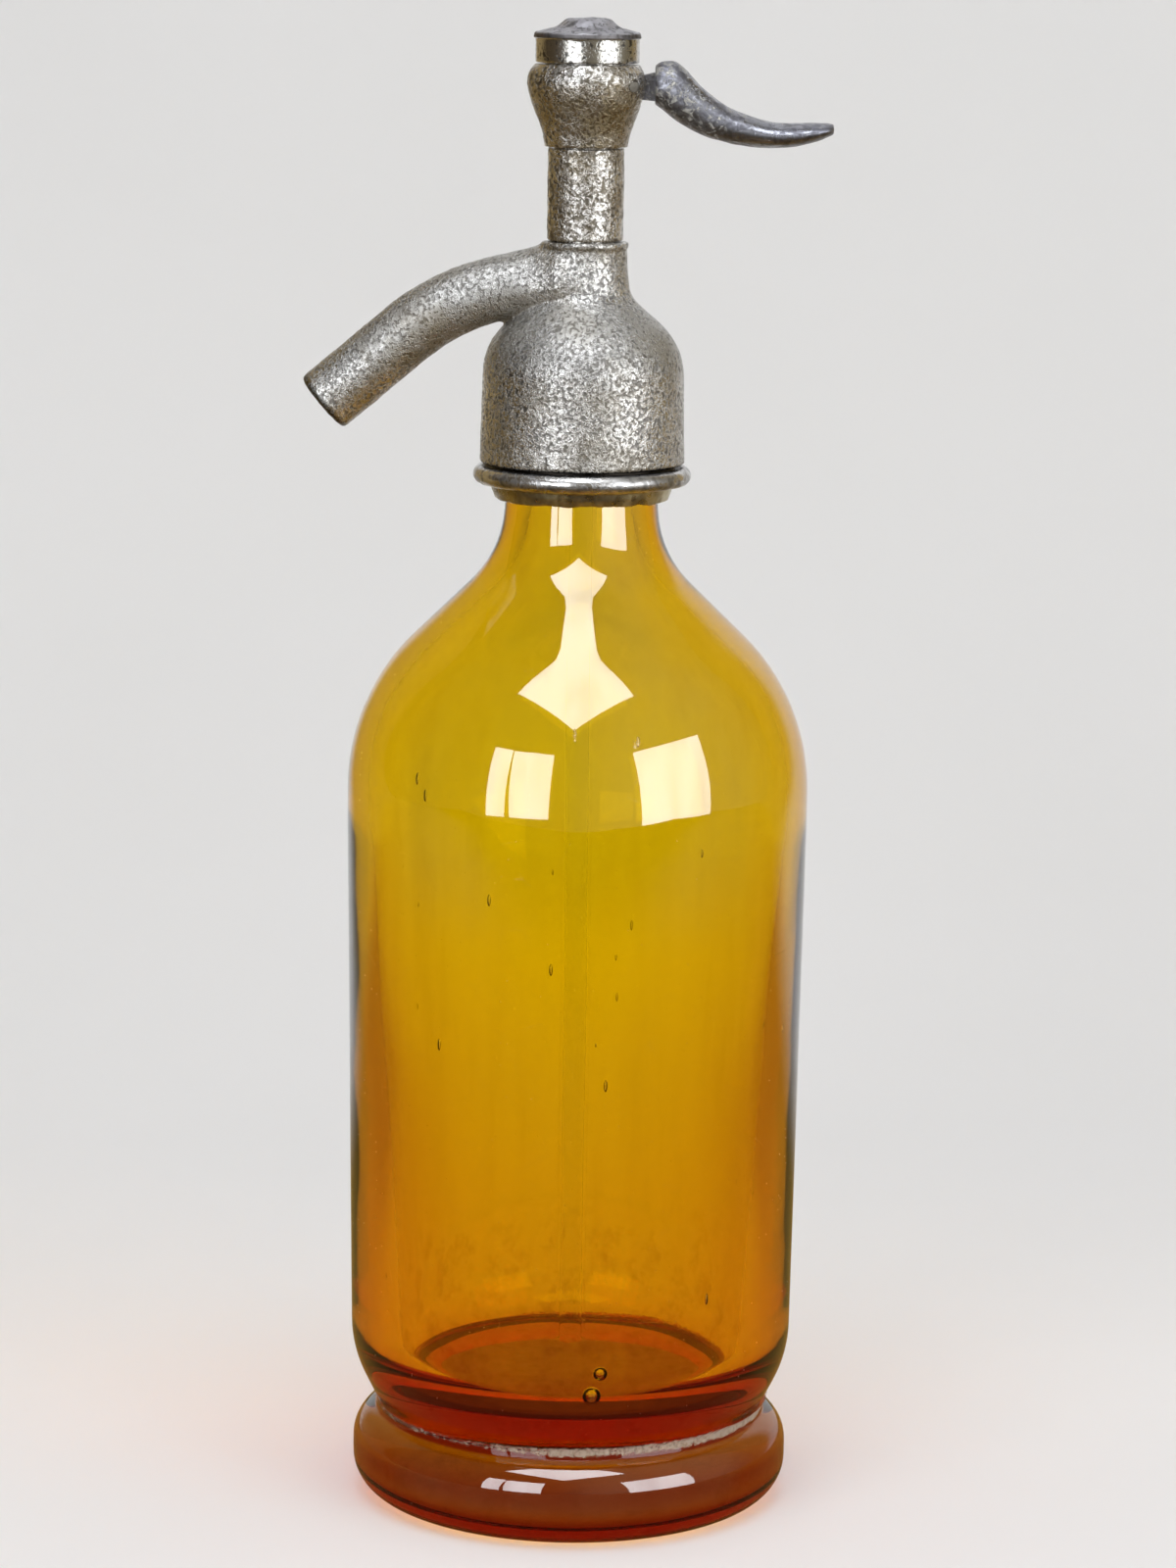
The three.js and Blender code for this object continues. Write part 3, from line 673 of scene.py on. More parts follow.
class Paint(Graph):
    """A new material, with its principled shader and its texture coordinates."""

    def __init__(self, name: str) -> None:
        """Makes the material.

        Args:
            name: Its name.
        """
        self.material = bpy.data.materials.new(name)
        self.material.use_nodes = True
        super().__init__(self.material.node_tree)
        self.shader = self.tree.nodes["Principled BSDF"]
        self.output = self.tree.nodes["Material Output"]
        self.lit = Signal(self, self.shader.outputs[0])
        coordinates = self.outputs("TexCoord")
        self.place, self.normal = coordinates["Object"], coordinates["Normal"]

    def set(self, inputs: dict[str, object]) -> None:
        """Feeds inputs of the principled shader, by name."""
        for key, value in inputs.items():
            self.feed(self.shader.inputs[key], value)

    def emboss(self, height: Signal, depth: float) -> None:
        """Gives the shader relief.

        Args:
            height: The height.
            depth: Depth of the relief in millimetres.
        """
        bump = self.outputs("Bump", {"Height": height, "Distance": mm(depth), "Strength": 1.0})
        self.set({"Normal": bump["Normal"]})

    def show(self, surface: Signal) -> None:
        """Makes a shader the material's surface."""
        self.feed(self.output.inputs["Surface"], surface)


class Effect:
    """A shader node group that is built once and placed in each material that uses it."""

    takes: dict[str, tuple[str, object]] = {}
    gives: dict[str, str] = {}

    @classmethod
    def tree(cls) -> bpy.types.NodeTree:
        """Finds the group, or builds it the first time.

        Returns:
            The group's tree.
        """
        found = bpy.data.node_groups.get(cls.__name__)
        if found:
            return found
        tree = bpy.data.node_groups.new(cls.__name__, "ShaderNodeTree")
        for name, (kind, value) in cls.takes.items():
            socket = tree.interface.new_socket(name, in_out="INPUT", socket_type=f"NodeSocket{kind}")
            if value is not None:
                socket.default_value = value
        for name, kind in cls.gives.items():
            tree.interface.new_socket(name, in_out="OUTPUT", socket_type=f"NodeSocket{kind}")
        graph = Graph(tree)
        source = graph.signals(tree.nodes.new("NodeGroupInput").outputs)
        sink = tree.nodes.new("NodeGroupOutput").inputs
        for name, value in cls.wire(graph, source).items():
            graph.feed(sink[name], value)
        return tree

    @classmethod
    def wire(cls, graph: Graph, source: dict[str, Signal]) -> dict[str, Signal]:
        """Builds the group's inside.

        Args:
            graph: The group's graph.
            source: The group's inputs, by name.

        Returns:
            The signals for its outputs, by name.
        """
        raise NotImplementedError

    @classmethod
    def put(cls, graph: Graph, **inputs: object) -> dict[str, Signal]:
        """Places the group in a material.

        Args:
            graph: The material's graph.
            inputs: Values or signals, with underscores for spaces.

        Returns:
            The group's outputs.
        """
        node = graph.tree.nodes.new("ShaderNodeGroup")
        node.node_tree = cls.tree()
        for key, value in inputs.items():
            graph.feed(node.inputs[key.replace("_", " ").title()], value)
        return graph.signals(node.outputs)


class Pitting(Effect):
    """Corroded tin: worm-shaped pits with raised flakes between them."""

    takes = {
        "Position": ("Vector", None),
        "Pits Per Metre": ("Float", 1000.0),
        "Flake Share": ("Float", 0.5),
        "Patchiness": ("Float", 0.5),
    }
    gives = {"Height": "Float", "Pits": "Float", "Flakes": "Float"}

    @classmethod
    def wire(cls, graph: Graph, source: dict[str, Signal]) -> dict[str, Signal]:
        """Wires warped noise into pits, and broader noise into patches of flakes.

        Args:
            graph: The group's graph.
            source: The group's inputs, by name.

        Returns:
            The signals for its outputs, by name.
        """
        place, scale, share, patchiness = (source[name] for name in cls.takes)
        bend = graph.noise(place, scale * 0.6, 1.0, "Color")
        shift = graph.vector("SCALE", graph.vector("SUBTRACT", bend, (0.5, 0.5, 0.5)), 1.3 / scale)
        lumps = graph.noise(graph.vector("ADD", place, shift), scale, 2.5, roughness=0.55)
        worms = abs(lumps - 0.5).ramp(0.0, 0.11, 1.0, 0.0)
        fine = graph.noise(place, scale * 2.4)
        patches = graph.noise(place, scale * 0.16)
        patchy = patches * patchiness + lumps * (1.0 - patchiness)
        return {
            "Height": lumps * 0.8 + worms * 0.22 + fine * 0.16,
            "Pits": lumps.ramp(0.34, 0.47, 1.0, 0.0),
            "Flakes": (patchy - (1.0 - share) * 0.9).ramp(-0.02, 0.07),
        }


class Grime(Effect):
    """Warm brown grime in patches, and painted shade in the same colour on faces that look down."""

    takes = {
        "Position": ("Vector", None),
        "Facing": ("Vector", None),
        "Metal": ("Color", None),
        "Dirt": ("Color", None),
        "Patch Size": ("Float", 90.0),
        "Underside": ("Float", 0.5),
        "Amount": ("Float", 0.4),
    }
    gives = {"Color": "Color", "Mask": "Float"}

    @classmethod
    def wire(cls, graph: Graph, source: dict[str, Signal]) -> dict[str, Signal]:
        """Wires the mask from broad noise, for grime, and from faces that look down, for painted shade.

        Args:
            graph: The group's graph.
            source: The group's inputs, by name.

        Returns:
            The signals for its outputs, by name.
        """
        place, facing, metal, dirt, size, underside, amount = (source[name] for name in cls.takes)
        # painted shade: faces that look down turn toward the same warm brown as the grime
        below = graph.split(facing)[2].ramp(0.25, -0.5) * underside
        patch = graph.noise(place, size, 4.0, roughness=0.65).ramp(0.42, 0.66) * amount
        mask = graph.math("ADD", below, patch, clamp=True)
        return {"Color": graph.mix(mask, metal, dirt), "Mask": mask}


class Scratches(Effect):
    """Fine scratches and dust for glass and smooth metal."""

    takes = {"Position": ("Vector", None), "Per Metre": ("Float", 60.0), "Share": ("Float", 0.5)}
    gives = {"Lines": "Float", "Dust": "Float"}

    @classmethod
    def wire(cls, graph: Graph, source: dict[str, Signal]) -> dict[str, Signal]:
        """Wires thin cell borders, broken up by noise, and small specks.

        Args:
            graph: The group's graph.
            source: The group's inputs, by name.

        Returns:
            The signals for its outputs, by name.
        """
        place, scale, share = (source[name] for name in cls.takes)
        cells = graph.outputs("TexVoronoi", {"Vector": place, "Scale": scale}, feature="DISTANCE_TO_EDGE")
        broken = graph.noise(place, scale * 1.7, 3.0).ramp(0.52, 0.6)
        lines = cells["Distance"].ramp(0.0, 0.006, 1.0, 0.0) * broken * share
        grains = graph.outputs("TexVoronoi", {"Vector": place, "Scale": scale * 11.0})
        chance = graph.outputs("SeparateColor", {0: grains["Color"]})["Red"]
        dust = grains["Distance"].ramp(0.05, 0.16, 1.0, 0.0) * chance.ramp(0.72, 0.8)
        return {"Lines": lines, "Dust": dust}


# Finishes


@dataclass(frozen=True)
class Finish:
    """A named finish that makes a new material each time."""

    name: str

    def make(self) -> bpy.types.Material:
        """Builds the material.

        Returns:
            The material.
        """
        paint = Paint(self.name)
        self.coat(paint)
        return paint.material

    def coat(self, paint: Paint) -> object:
        """Wires the finish into a material."""
        raise NotImplementedError


@dataclass(frozen=True)
class Glass(Finish):
    """Clear or coloured glass whose colour deepens with its thickness."""

    absorbed: Colour
    index: float = 1.5
    wave: float = 0.05
    haze: float = 0.012
    aged: bool = False

    def coat(self, paint: Paint) -> None:
        """Wires the glass's surface and its absorbing inside.

        Args:
            paint: The material.
        """
        paint.set({"Base Color": WHITE, "Transmission Weight": 1, "IOR": self.index})
        paint.set({"Coat IOR": 2.4, "Coat Roughness": 0.02})
        if self.aged:
            self.age(paint)
        marks = Scratches.put(paint, position=paint.place, per_metre=70.0, share=0.8)
        cloudy = marks["Lines"] * 0.25 + marks["Dust"] * 0.3
        paint.set({"Roughness": paint.math("ADD", cloudy, self.haze, clamp=True)})
        swell = paint.noise(paint.place, 42.0, 1.5)
        ripple = paint.noise(paint.place, 190.0, 1.0)
        paint.emboss(swell + ripple * 0.05 - marks["Lines"] * 0.01, self.wave)
        shadow = paint.outputs("LightPath")["Is Shadow Ray"]
        clear = paint.outputs("BsdfTransparent", {"Color": (0.94, 0.94, 0.94, 1)})["BSDF"]
        paint.show(paint.blend(shadow, paint.lit, clear))
        density = max(self.absorbed)
        if density > 0:
            tint = (*(1 - value / density for value in self.absorbed), 1)
            inside = paint.outputs("VolumeAbsorption", {"Color": tint, "Density": density})
            paint.feed(paint.output.inputs["Volume"], inside["Volume"])

    def age(self, paint: Paint) -> None:
        """Gives the glass its polished outer skin, and the film and smudges of long use.

        The skin is polished at the shoulder, the neck and the top of the foot, and duller where hands
        and crates have rubbed it and toward its edges.

        Args:
            paint: The material that is being made.
        """
        level = paint.split(paint.place)[2]
        drawn = paint.outputs("Mapping", {"Vector": paint.place, "Scale": (1.0, 1.0, 0.1)})["Vector"]
        streaks = paint.noise(drawn, 150.0, 3.0)
        smudges = paint.noise(paint.place, 140.0, 4.0, roughness=0.65)
        film = (streaks.ramp(0.48, 0.75) * 0.22).or_more(smudges.ramp(0.5, 0.7) * level.fade(56, 36))
        paint.set({"Base Color": paint.mix(film, WHITE, (0.78, 0.7, 0.56, 1))})
        flat = paint.vector("MULTIPLY", paint.place, (1, 1, 0))
        outward = paint.vector("DOT_PRODUCT", paint.vector("NORMALIZE", flat), paint.normal)
        outer = paint.math("GREATER_THAN", outward, 0.0)
        outside = 1.0 - paint.outputs("NewGeometry")["Backfacing"]
        turned = paint.outputs("LayerWeight")["Facing"].ramp(0.22, 0.5, 1.0, 0.0)
        foot = level.fade(18, 16) * level.fade(6, 9)
        polish = level.fade(118, 140).or_more(foot)
        for mask in (outer, outside, turned, streaks.ramp(0.35, 0.7, 1.0, 0.7)):
            polish = polish * mask
        paint.set({"Coat Weight": polish})


@dataclass(frozen=True)
class Pewter(Finish):
    """Tinned pewter, more or less pitted, with grime in the pits, bright flakes between them and painted
    shade on faces that look down.
    """

    dull: Colour
    bright: Colour
    dirt: Colour
    pits_per_metre: float = 950.0
    relief: float = 0.22
    flake_share: float = 0.5
    patchiness: float = 0.5
    dirt_share: float = 0.45
    # share of painted shade on faces that look down
    underside: float = 0.5
    rough_dull: float = 0.46
    rough_bright: float = 0.2
    pit_dark: float = 0.55

    def coat(self, paint: Paint, flaking: object = 1.0) -> dict[str, Signal]:
        """Wires the pitted look into a material.

        Args:
            paint: The material.
            flaking: How far the bright flakes stand out, from 0 to 1.

        Returns:
            The signals that feed colour, roughness and height, by name.
        """
        pitted = Pitting.put(
            paint, position=paint.place, pits_per_metre=self.pits_per_metre,
            flake_share=self.flake_share, patchiness=self.patchiness,
        )
        flakes = pitted["Flakes"] * flaking
        # grime patches, and painted shade on faces that look down, both in the warm brown colour
        dirty_and_shaded = Grime.put(
            paint, position=paint.place, facing=paint.normal, metal=paint.mix(flakes, self.dull, self.bright),
            dirt=self.dirt, underside=self.underside, amount=self.dirt_share,
        )
        pit_dirt = tuple(value * 0.45 for value in self.dirt)
        base = paint.mix(pitted["Pits"] * self.pit_dark, dirty_and_shaded["Color"], pit_dirt)
        rough = flakes.ramp(0.0, 1.0, self.rough_dull, self.rough_bright)
        rough = paint.math("ADD", rough, dirty_and_shaded["Mask"] * 0.12, clamp=True)
        paint.set({"Metallic": 1, "Base Color": base, "Roughness": rough})
        paint.emboss(pitted["Height"], self.relief)
        return {"base": base, "rough": rough, "height": pitted["Height"]}


@dataclass(frozen=True)
class Turned(Finish):
    """Machined brass or steel with fine turning marks, a little grime and a little painted shade on faces
    that look down.
    """

    metal: Colour
    dirt: Colour
    roughness: float = 0.32

    def coat(self, paint: Paint) -> None:
        """Wires the turned metal.

        Args:
            paint: The material.
        """
        stretched = paint.outputs("Mapping", {"Vector": paint.place, "Scale": (0.12, 0.12, 1.0)})["Vector"]
        marks = paint.noise(stretched, 2600.0)
        # grime patches, and a little painted shade on faces that look down
        dirty_and_shaded = Grime.put(
            paint, position=paint.place, facing=paint.normal, metal=self.metal, dirt=self.dirt,
            patch_size=260.0, underside=0.2, amount=0.6,
        )
        worn = marks * 0.14 + (self.roughness - 0.07)
        paint.set({"Metallic": 1, "Base Color": dirty_and_shaded["Color"], "Roughness": worn})
        paint.emboss(marks, 0.02)


@dataclass(frozen=True)
class Hide(Finish):
    """Rubber or leather: matt, mottled and finely creased."""

    light: Colour
    dark: Colour
    creases_per_metre: float = 1400.0

    def coat(self, paint: Paint) -> None:
        """Wires the mottled, creased skin.

        Args:
            paint: The material.
        """
        inputs = {"Vector": paint.place, "Scale": self.creases_per_metre}
        creases = paint.outputs("TexVoronoi", inputs, feature="DISTANCE_TO_EDGE")["Distance"]
        mottle = paint.noise(paint.place, self.creases_per_metre / 4, 3.0)
        paint.set({"Base Color": paint.mix(mottle, self.dark, self.light)})
        paint.set({"Roughness": mottle.ramp(0.3, 0.7, 0.62, 0.85)})
        paint.emboss(creases.ramp(0.0, 0.2), 0.08)


@dataclass(frozen=True)
class Lime(Finish):
    """Chalky white deposit, thick in places and gone in others."""

    level: float
    thin: Colour = (150, 124, 98)
    thick: Colour = (214, 202, 188)

    def coat(self, paint: Paint) -> None:
        """Wires the lime, see-through where there is none.

        Args:
            paint: The material.
        """
        grain = paint.noise(paint.place, 1100.0, 3.0, roughness=0.75)
        broad = paint.noise(paint.place, 90.0, 3.0)
        x, y, z = paint.split(paint.place)
        cover = broad + x.fade(-25, 15, 0.0, 0.3) + y.fade(20, -30, 0.0, 0.1) + grain * 1.1
        cover = cover - abs(z - mm(self.level)).fade(0.3, 1.9, 0.0, 0.55)
        paint.set({"Alpha": cover.ramp(1.08, 1.42, 0.0, 0.75), "Roughness": 0.9})
        paint.set({"Base Color": paint.mix(grain, self.thin, self.thick)})
        paint.emboss(grain, 0.1)


AMBER = Glass("amber_glass", absorbed=(15.0, 62.0, 900.0), aged=True)
CLEAR = Glass("clear_glass", absorbed=(0.8, 0.3, 1.0), index=1.025, wave=0.01)
SEED_AIR = Glass("seed_air", absorbed=(0.0, 0.0, 0.0), index=1 / 1.5, wave=0.0, haze=0.0)
BELL_PEWTER = Pewter(
    "bell_pewter", dull=(146, 145, 144), bright=(230, 230, 229), dirt=(120, 108, 82),
    pits_per_metre=1350.0, relief=0.34, patchiness=0.2, dirt_share=0.35,
    rough_dull=0.36, rough_bright=0.17, pit_dark=0.45,
)
COLUMN_PEWTER = Pewter(
    "column_pewter", dull=(126, 122, 116), bright=(234, 233, 232), dirt=(136, 122, 94),
    pits_per_metre=1150.0, relief=0.32, patchiness=0.25, dirt_share=0.4, underside=0.6,
    rough_dull=0.3, rough_bright=0.14, pit_dark=0.5,
)
COLLAR_PEWTER = Pewter(
    "collar_pewter", dull=(198, 198, 201), bright=(234, 234, 236), dirt=(104, 97, 80),
    pits_per_metre=520.0, relief=0.06, patchiness=0.4, flake_share=0.45,
    rough_dull=0.28, rough_bright=0.18, pit_dark=0.45,
)
LEVER_PEWTER = Pewter(
    "lever_pewter", dull=(120, 121, 131), bright=(158, 160, 171), dirt=(84, 80, 72),
    pits_per_metre=620.0, relief=0.06, dirt_share=0.3, rough_dull=0.36, rough_bright=0.26, pit_dark=0.3,
)
CAP_PEWTER = Pewter(
    "cap_pewter", dull=(168, 165, 160), bright=(208, 206, 201), dirt=(46, 42, 38),
    pits_per_metre=1250.0, relief=0.05, flake_share=0.62, patchiness=0.4, dirt_share=0.2, underside=0.0,
    rough_dull=0.24, rough_bright=0.17, pit_dark=0.7,
)
BRASS = Turned("brass", metal=(188, 152, 88), dirt=(92, 68, 38))
STEEL = Turned("steel", metal=(190, 192, 195), dirt=(96, 90, 84), roughness=0.28)
PIN_STEEL = Turned("pin_steel", metal=(142, 138, 130), dirt=(74, 62, 44), roughness=0.42)
RUBBER = Hide("rubber", light=(58, 56, 54), dark=(30, 29, 28))
LEATHER = Hide("leather", light=(134, 92, 56), dark=(84, 54, 32), creases_per_metre=1100.0)


# Bottle


@dataclass
class Bottle:
    """Blown bottle with a thick floor, a pressed foot and what has gathered on it."""

    foot_radius: float = 44.3
    foot_height: float = 17.6
    groove_radius: float = 39.3
    groove_height: float = 1.9
    heel_radius: float = 44.7
    heel_top: float = 30.2
    body_radius: float = 46.24
    widest: float = 140.0
    shoulder: float = 164.3
    shoulder_round: float = 43.0
    neck_root_radius: float = 16.0
    neck_root: float = 193.6
    neck_radius: float = 14.5
    neck_round: float = 22.0
    bore: float = 10.0
    lip_radius: float = 16.1
    lip_base: float = 213.4
    lip_top: float = 219.0
    lip_round: float = 1.2
    wall: float = 4.3
    low_wall: float = 10.2
    floor: float = 26.0
    floor_round: float = 10.0
    seed_count: int = 14
    seed_drawn: float = 0.5
    seeds_seen: tuple = ((-41, 150), (-36, 101), (-44, 153), (37, 50), (-22, 131), (-6, 118), (8, 95))
    bubbles: tuple = ((5.9, 32.0, 1.8), (8.1, 36.4, 1.4))
    bubble_least: float = 1.0
    lime_rise: float = 2.0

    def outside(self) -> list[tuple]:
        """Outline of the outer wall, from the middle of the foot to the lip.

        Returns:
            Its corners.
        """
        return [
            (0, 0),
            (self.foot_radius, 0, 8),
            (self.foot_radius, self.foot_height - self.groove_height, 7),
            (self.groove_radius + 0.4, self.foot_height, 0.4),
            (self.groove_radius, self.foot_height + self.groove_height, 0.4),
            (self.heel_radius, self.heel_top, 24),
            (self.body_radius, self.widest),
            (self.body_radius, self.shoulder, self.shoulder_round),
            (self.neck_root_radius, self.neck_root, self.neck_round),
            (self.neck_radius, self.lip_base),
            (self.lip_radius, self.lip_base, self.lip_round),
            (self.lip_radius, self.lip_top, self.lip_round),
        ]

    def inside(self) -> list[tuple]:
        """Outline of the inner wall, from the lip to the middle of the floor.

        Returns:
            Its corners.
        """
        slope = (self.body_radius - self.neck_root_radius) / (self.neck_root - self.shoulder)
        angle = math.atan(1 / slope)
        radius = self.body_radius - self.wall
        shoulder = self.shoulder - self.wall * math.tan(angle / 2)
        return [
            (self.bore, self.lip_top, self.lip_round),
            (self.bore, shoulder + (radius - self.bore) / slope, self.neck_round + self.wall),
            (radius, shoulder, self.shoulder_round - self.wall),
            (radius, self.widest),
            (self.heel_radius - self.low_wall, self.floor, self.floor_round),
            (0, self.floor),
        ]

    def build(self) -> None:
        """Builds the bottle, its seeds and its lime line, and puts them into the frame."""
        glass = turn("bottle_glass", self.outside() + self.inside(), longest=3.0, steps=160)
        roughen(glass, 60.0, 0.5, weigh(glass, "inner", self.inner_weight))
        stand(glass, AMBER.make(), "amber_glass", "bottle")
        self.build_seeds()
        self.build_lime()

    def inner_weight(self, place: Vector) -> float:
        """How far the inner wall waves, most in the body and not at the lip.

        Args:
            place: A place in millimetres.

        Returns:
            The weight there, from 0 to 1.
        """
        radius = from_axis(place)
        inside = place.z > self.floor - 1 and radius < self.body_radius - self.wall + 0.6
        if not inside or place.z > self.neck_root:
            return 0.0
        near_outside = radius > self.heel_radius - 2.5 and place.z < self.floor + 3
        return 0.0 if near_outside else smoothstep(self.neck_root, self.shoulder, place.z)

    def build_seeds(self) -> None:
        """Builds the seeds, the small bubbles drawn out in the wall, and two bubbles in the floor."""
        chance = random.Random(11)
        places = [(angle, level, self.seed_drawn) for angle, level in self.seeds_seen]
        places += self.bubbles
        places += [
            (chance.uniform(0, 360), chance.uniform(34, 165), chance.uniform(0.2, 0.45))
            for _ in range(self.seed_count)
        ]
        made = []
        for angle, level, size in places:
            fresh()
            bpy.ops.mesh.primitive_ico_sphere_add(subdivisions=3, radius=mm(size))
            seed = bpy.context.object
            edit(seed)
            low = size >= self.bubble_least
            drawn = (1, 0.9, 1) if low else (0.7, 0.8, 1.9 + size)
            bpy.ops.transform.resize(value=drawn, center_override=(0, 0, 0))
            side = math.radians(angle)
            reach = self.heel_radius - 3 if low else self.body_radius - 1.9
            bpy.ops.transform.translate(value=mm(reach * math.sin(side), -reach * math.cos(side), level))
            close_edit()
            made.append(seed)
        only(made[0])
        for seed in made:
            seed.select_set(True)
        bpy.ops.object.join()
        stand(settle(made[0], "bottle_seeds"), SEED_AIR.make(), "amber_glass", sharpest=180)

    def build_lime(self) -> None:
        """Builds the lime that has dried under the heel, in the groove."""
        groove, rise = self.groove_radius, self.lime_rise
        base = self.foot_height + self.groove_height
        slope = (self.heel_radius - groove) / (self.heel_top - base)
        corners = [
            (groove + 0.02, base - 1.5),
            (groove + 0.2, base - 1.4, 0.1),
            (groove + 0.4, base + 0.1, 0.2),
            (groove + rise * slope + 0.35, base + rise * 0.6),
            (groove + 0.1, base),
        ]
        lime = turn("groove_lime", corners, longest=0.5, steps=240)
        roughen(lime, 1.2, 0.2)
        stand(lime, Lime("lime", base - 0.1).make(), "amber_glass", sharpest=180)


@dataclass
class DipTube:
    """Clear glass tube that hangs in the neck."""

    radius: float = 3.0
    bore: float = 2.2
    base: float = 31.0
    top: float = 222.6
    polish: float = 0.5

    def build(self) -> None:
        """Builds the tube with fire-polished ends."""
        corners = [
            (self.bore, self.base, self.polish),
            (self.radius, self.base, self.polish),
            (self.radius, self.top, self.polish),
            (self.bore, self.top, self.polish),
        ]
        tube = turn("dip_tube_glass", corners, longest=8.0, steps=48)
        stand(tube, CLEAR.make(), "clear_glass", "dip_tube", sharpest=60)


# Head


@dataclass
class Collar:
    """Screwed collar under the bell, with a rounded bead and a thin torn skirt."""

    bore: float = 16.4
    sleeve_bore: float = 17.7
    sleeve: float = 18.6
    rim_reach: float = 1.1
    bead_reach: float = 21.65
    bead_base: float = 207.7
    bead_top: float = 211.2
    bead_round: float = 1.7
    rim: float = 211.7
    skirt_base: float = 204.7
    skirt_reach: float = 1.9
    floor: float = 209.6
    top: float = 220.4
    brass: Colour = (186, 175, 138)
    dark_brass: Colour = (128, 117, 88)
    crevice: Colour = (30, 27, 24)

    def build(self) -> None:
        """Builds the collar and tears the edge of its skirt."""
        corners = [
            (self.bore, self.skirt_base),
            (self.bore + 0.8, self.skirt_base, 0.3),
            (self.bore + 1.5, self.skirt_base + 1.6, 1.5),
            (self.bore + self.skirt_reach, self.bead_base, 0.5),
            (self.bead_reach, self.bead_base, self.bead_round),
            (self.bead_reach, self.bead_top, self.bead_round),
            (self.sleeve + self.rim_reach, self.bead_top, 0.2),
            (self.sleeve + self.rim_reach, self.rim),
            (self.sleeve, self.rim),
            (self.sleeve, self.top),
            (self.sleeve_bore, self.top),
            (self.sleeve_bore, self.floor),
            (self.bore, self.floor),
        ]
        collar = turn("clamp_collar_cast", corners, longest=0.45, steps=220)
        roughen(collar, 5.0, 1.1, weigh(collar, "edge", self.edge_weight), "Z")
        roughen(collar, 3.5, 0.22, weigh(collar, "outer", self.outer_weight))
        stand(collar, self.finish(), "pitted_pewter", "clamp_collar")

    def edge_weight(self, place: Vector) -> float:
        """How far the skirt's edge is torn."""
        return smoothstep(self.skirt_base + 1.1, self.skirt_base, place.z)

    def outer_weight(self, place: Vector) -> float:
        """How rough the collar is: outside its bore alone."""
        return smoothstep(self.bore + 0.7, self.bore + 2, from_axis(place))

    def finish(self) -> bpy.types.Material:
        """Makes the collar's material, worn to brass below the bead and with painted shade on top of the
        bead.

        Returns:
            The material.
        """
        paint = Paint("collar_finish")
        base = COLLAR_PEWTER.coat(paint)["base"]
        level = paint.split(paint.place)[2]
        below = level.fade(self.bead_base + 0.9, self.bead_base - 0.1) * 0.9
        patches = paint.noise(paint.place, 210.0, 3.0).ramp(0.4, 0.62)
        base = paint.mix(below, base, paint.mix(patches, self.brass, self.dark_brass))
        # painted shade where the top of the bead meets the bell
        crevice = level.fade(self.bead_top - 0.06, self.bead_top + 0.1)
        paint.set({"Base Color": paint.mix(crevice, base, self.crevice)})
        return paint.material


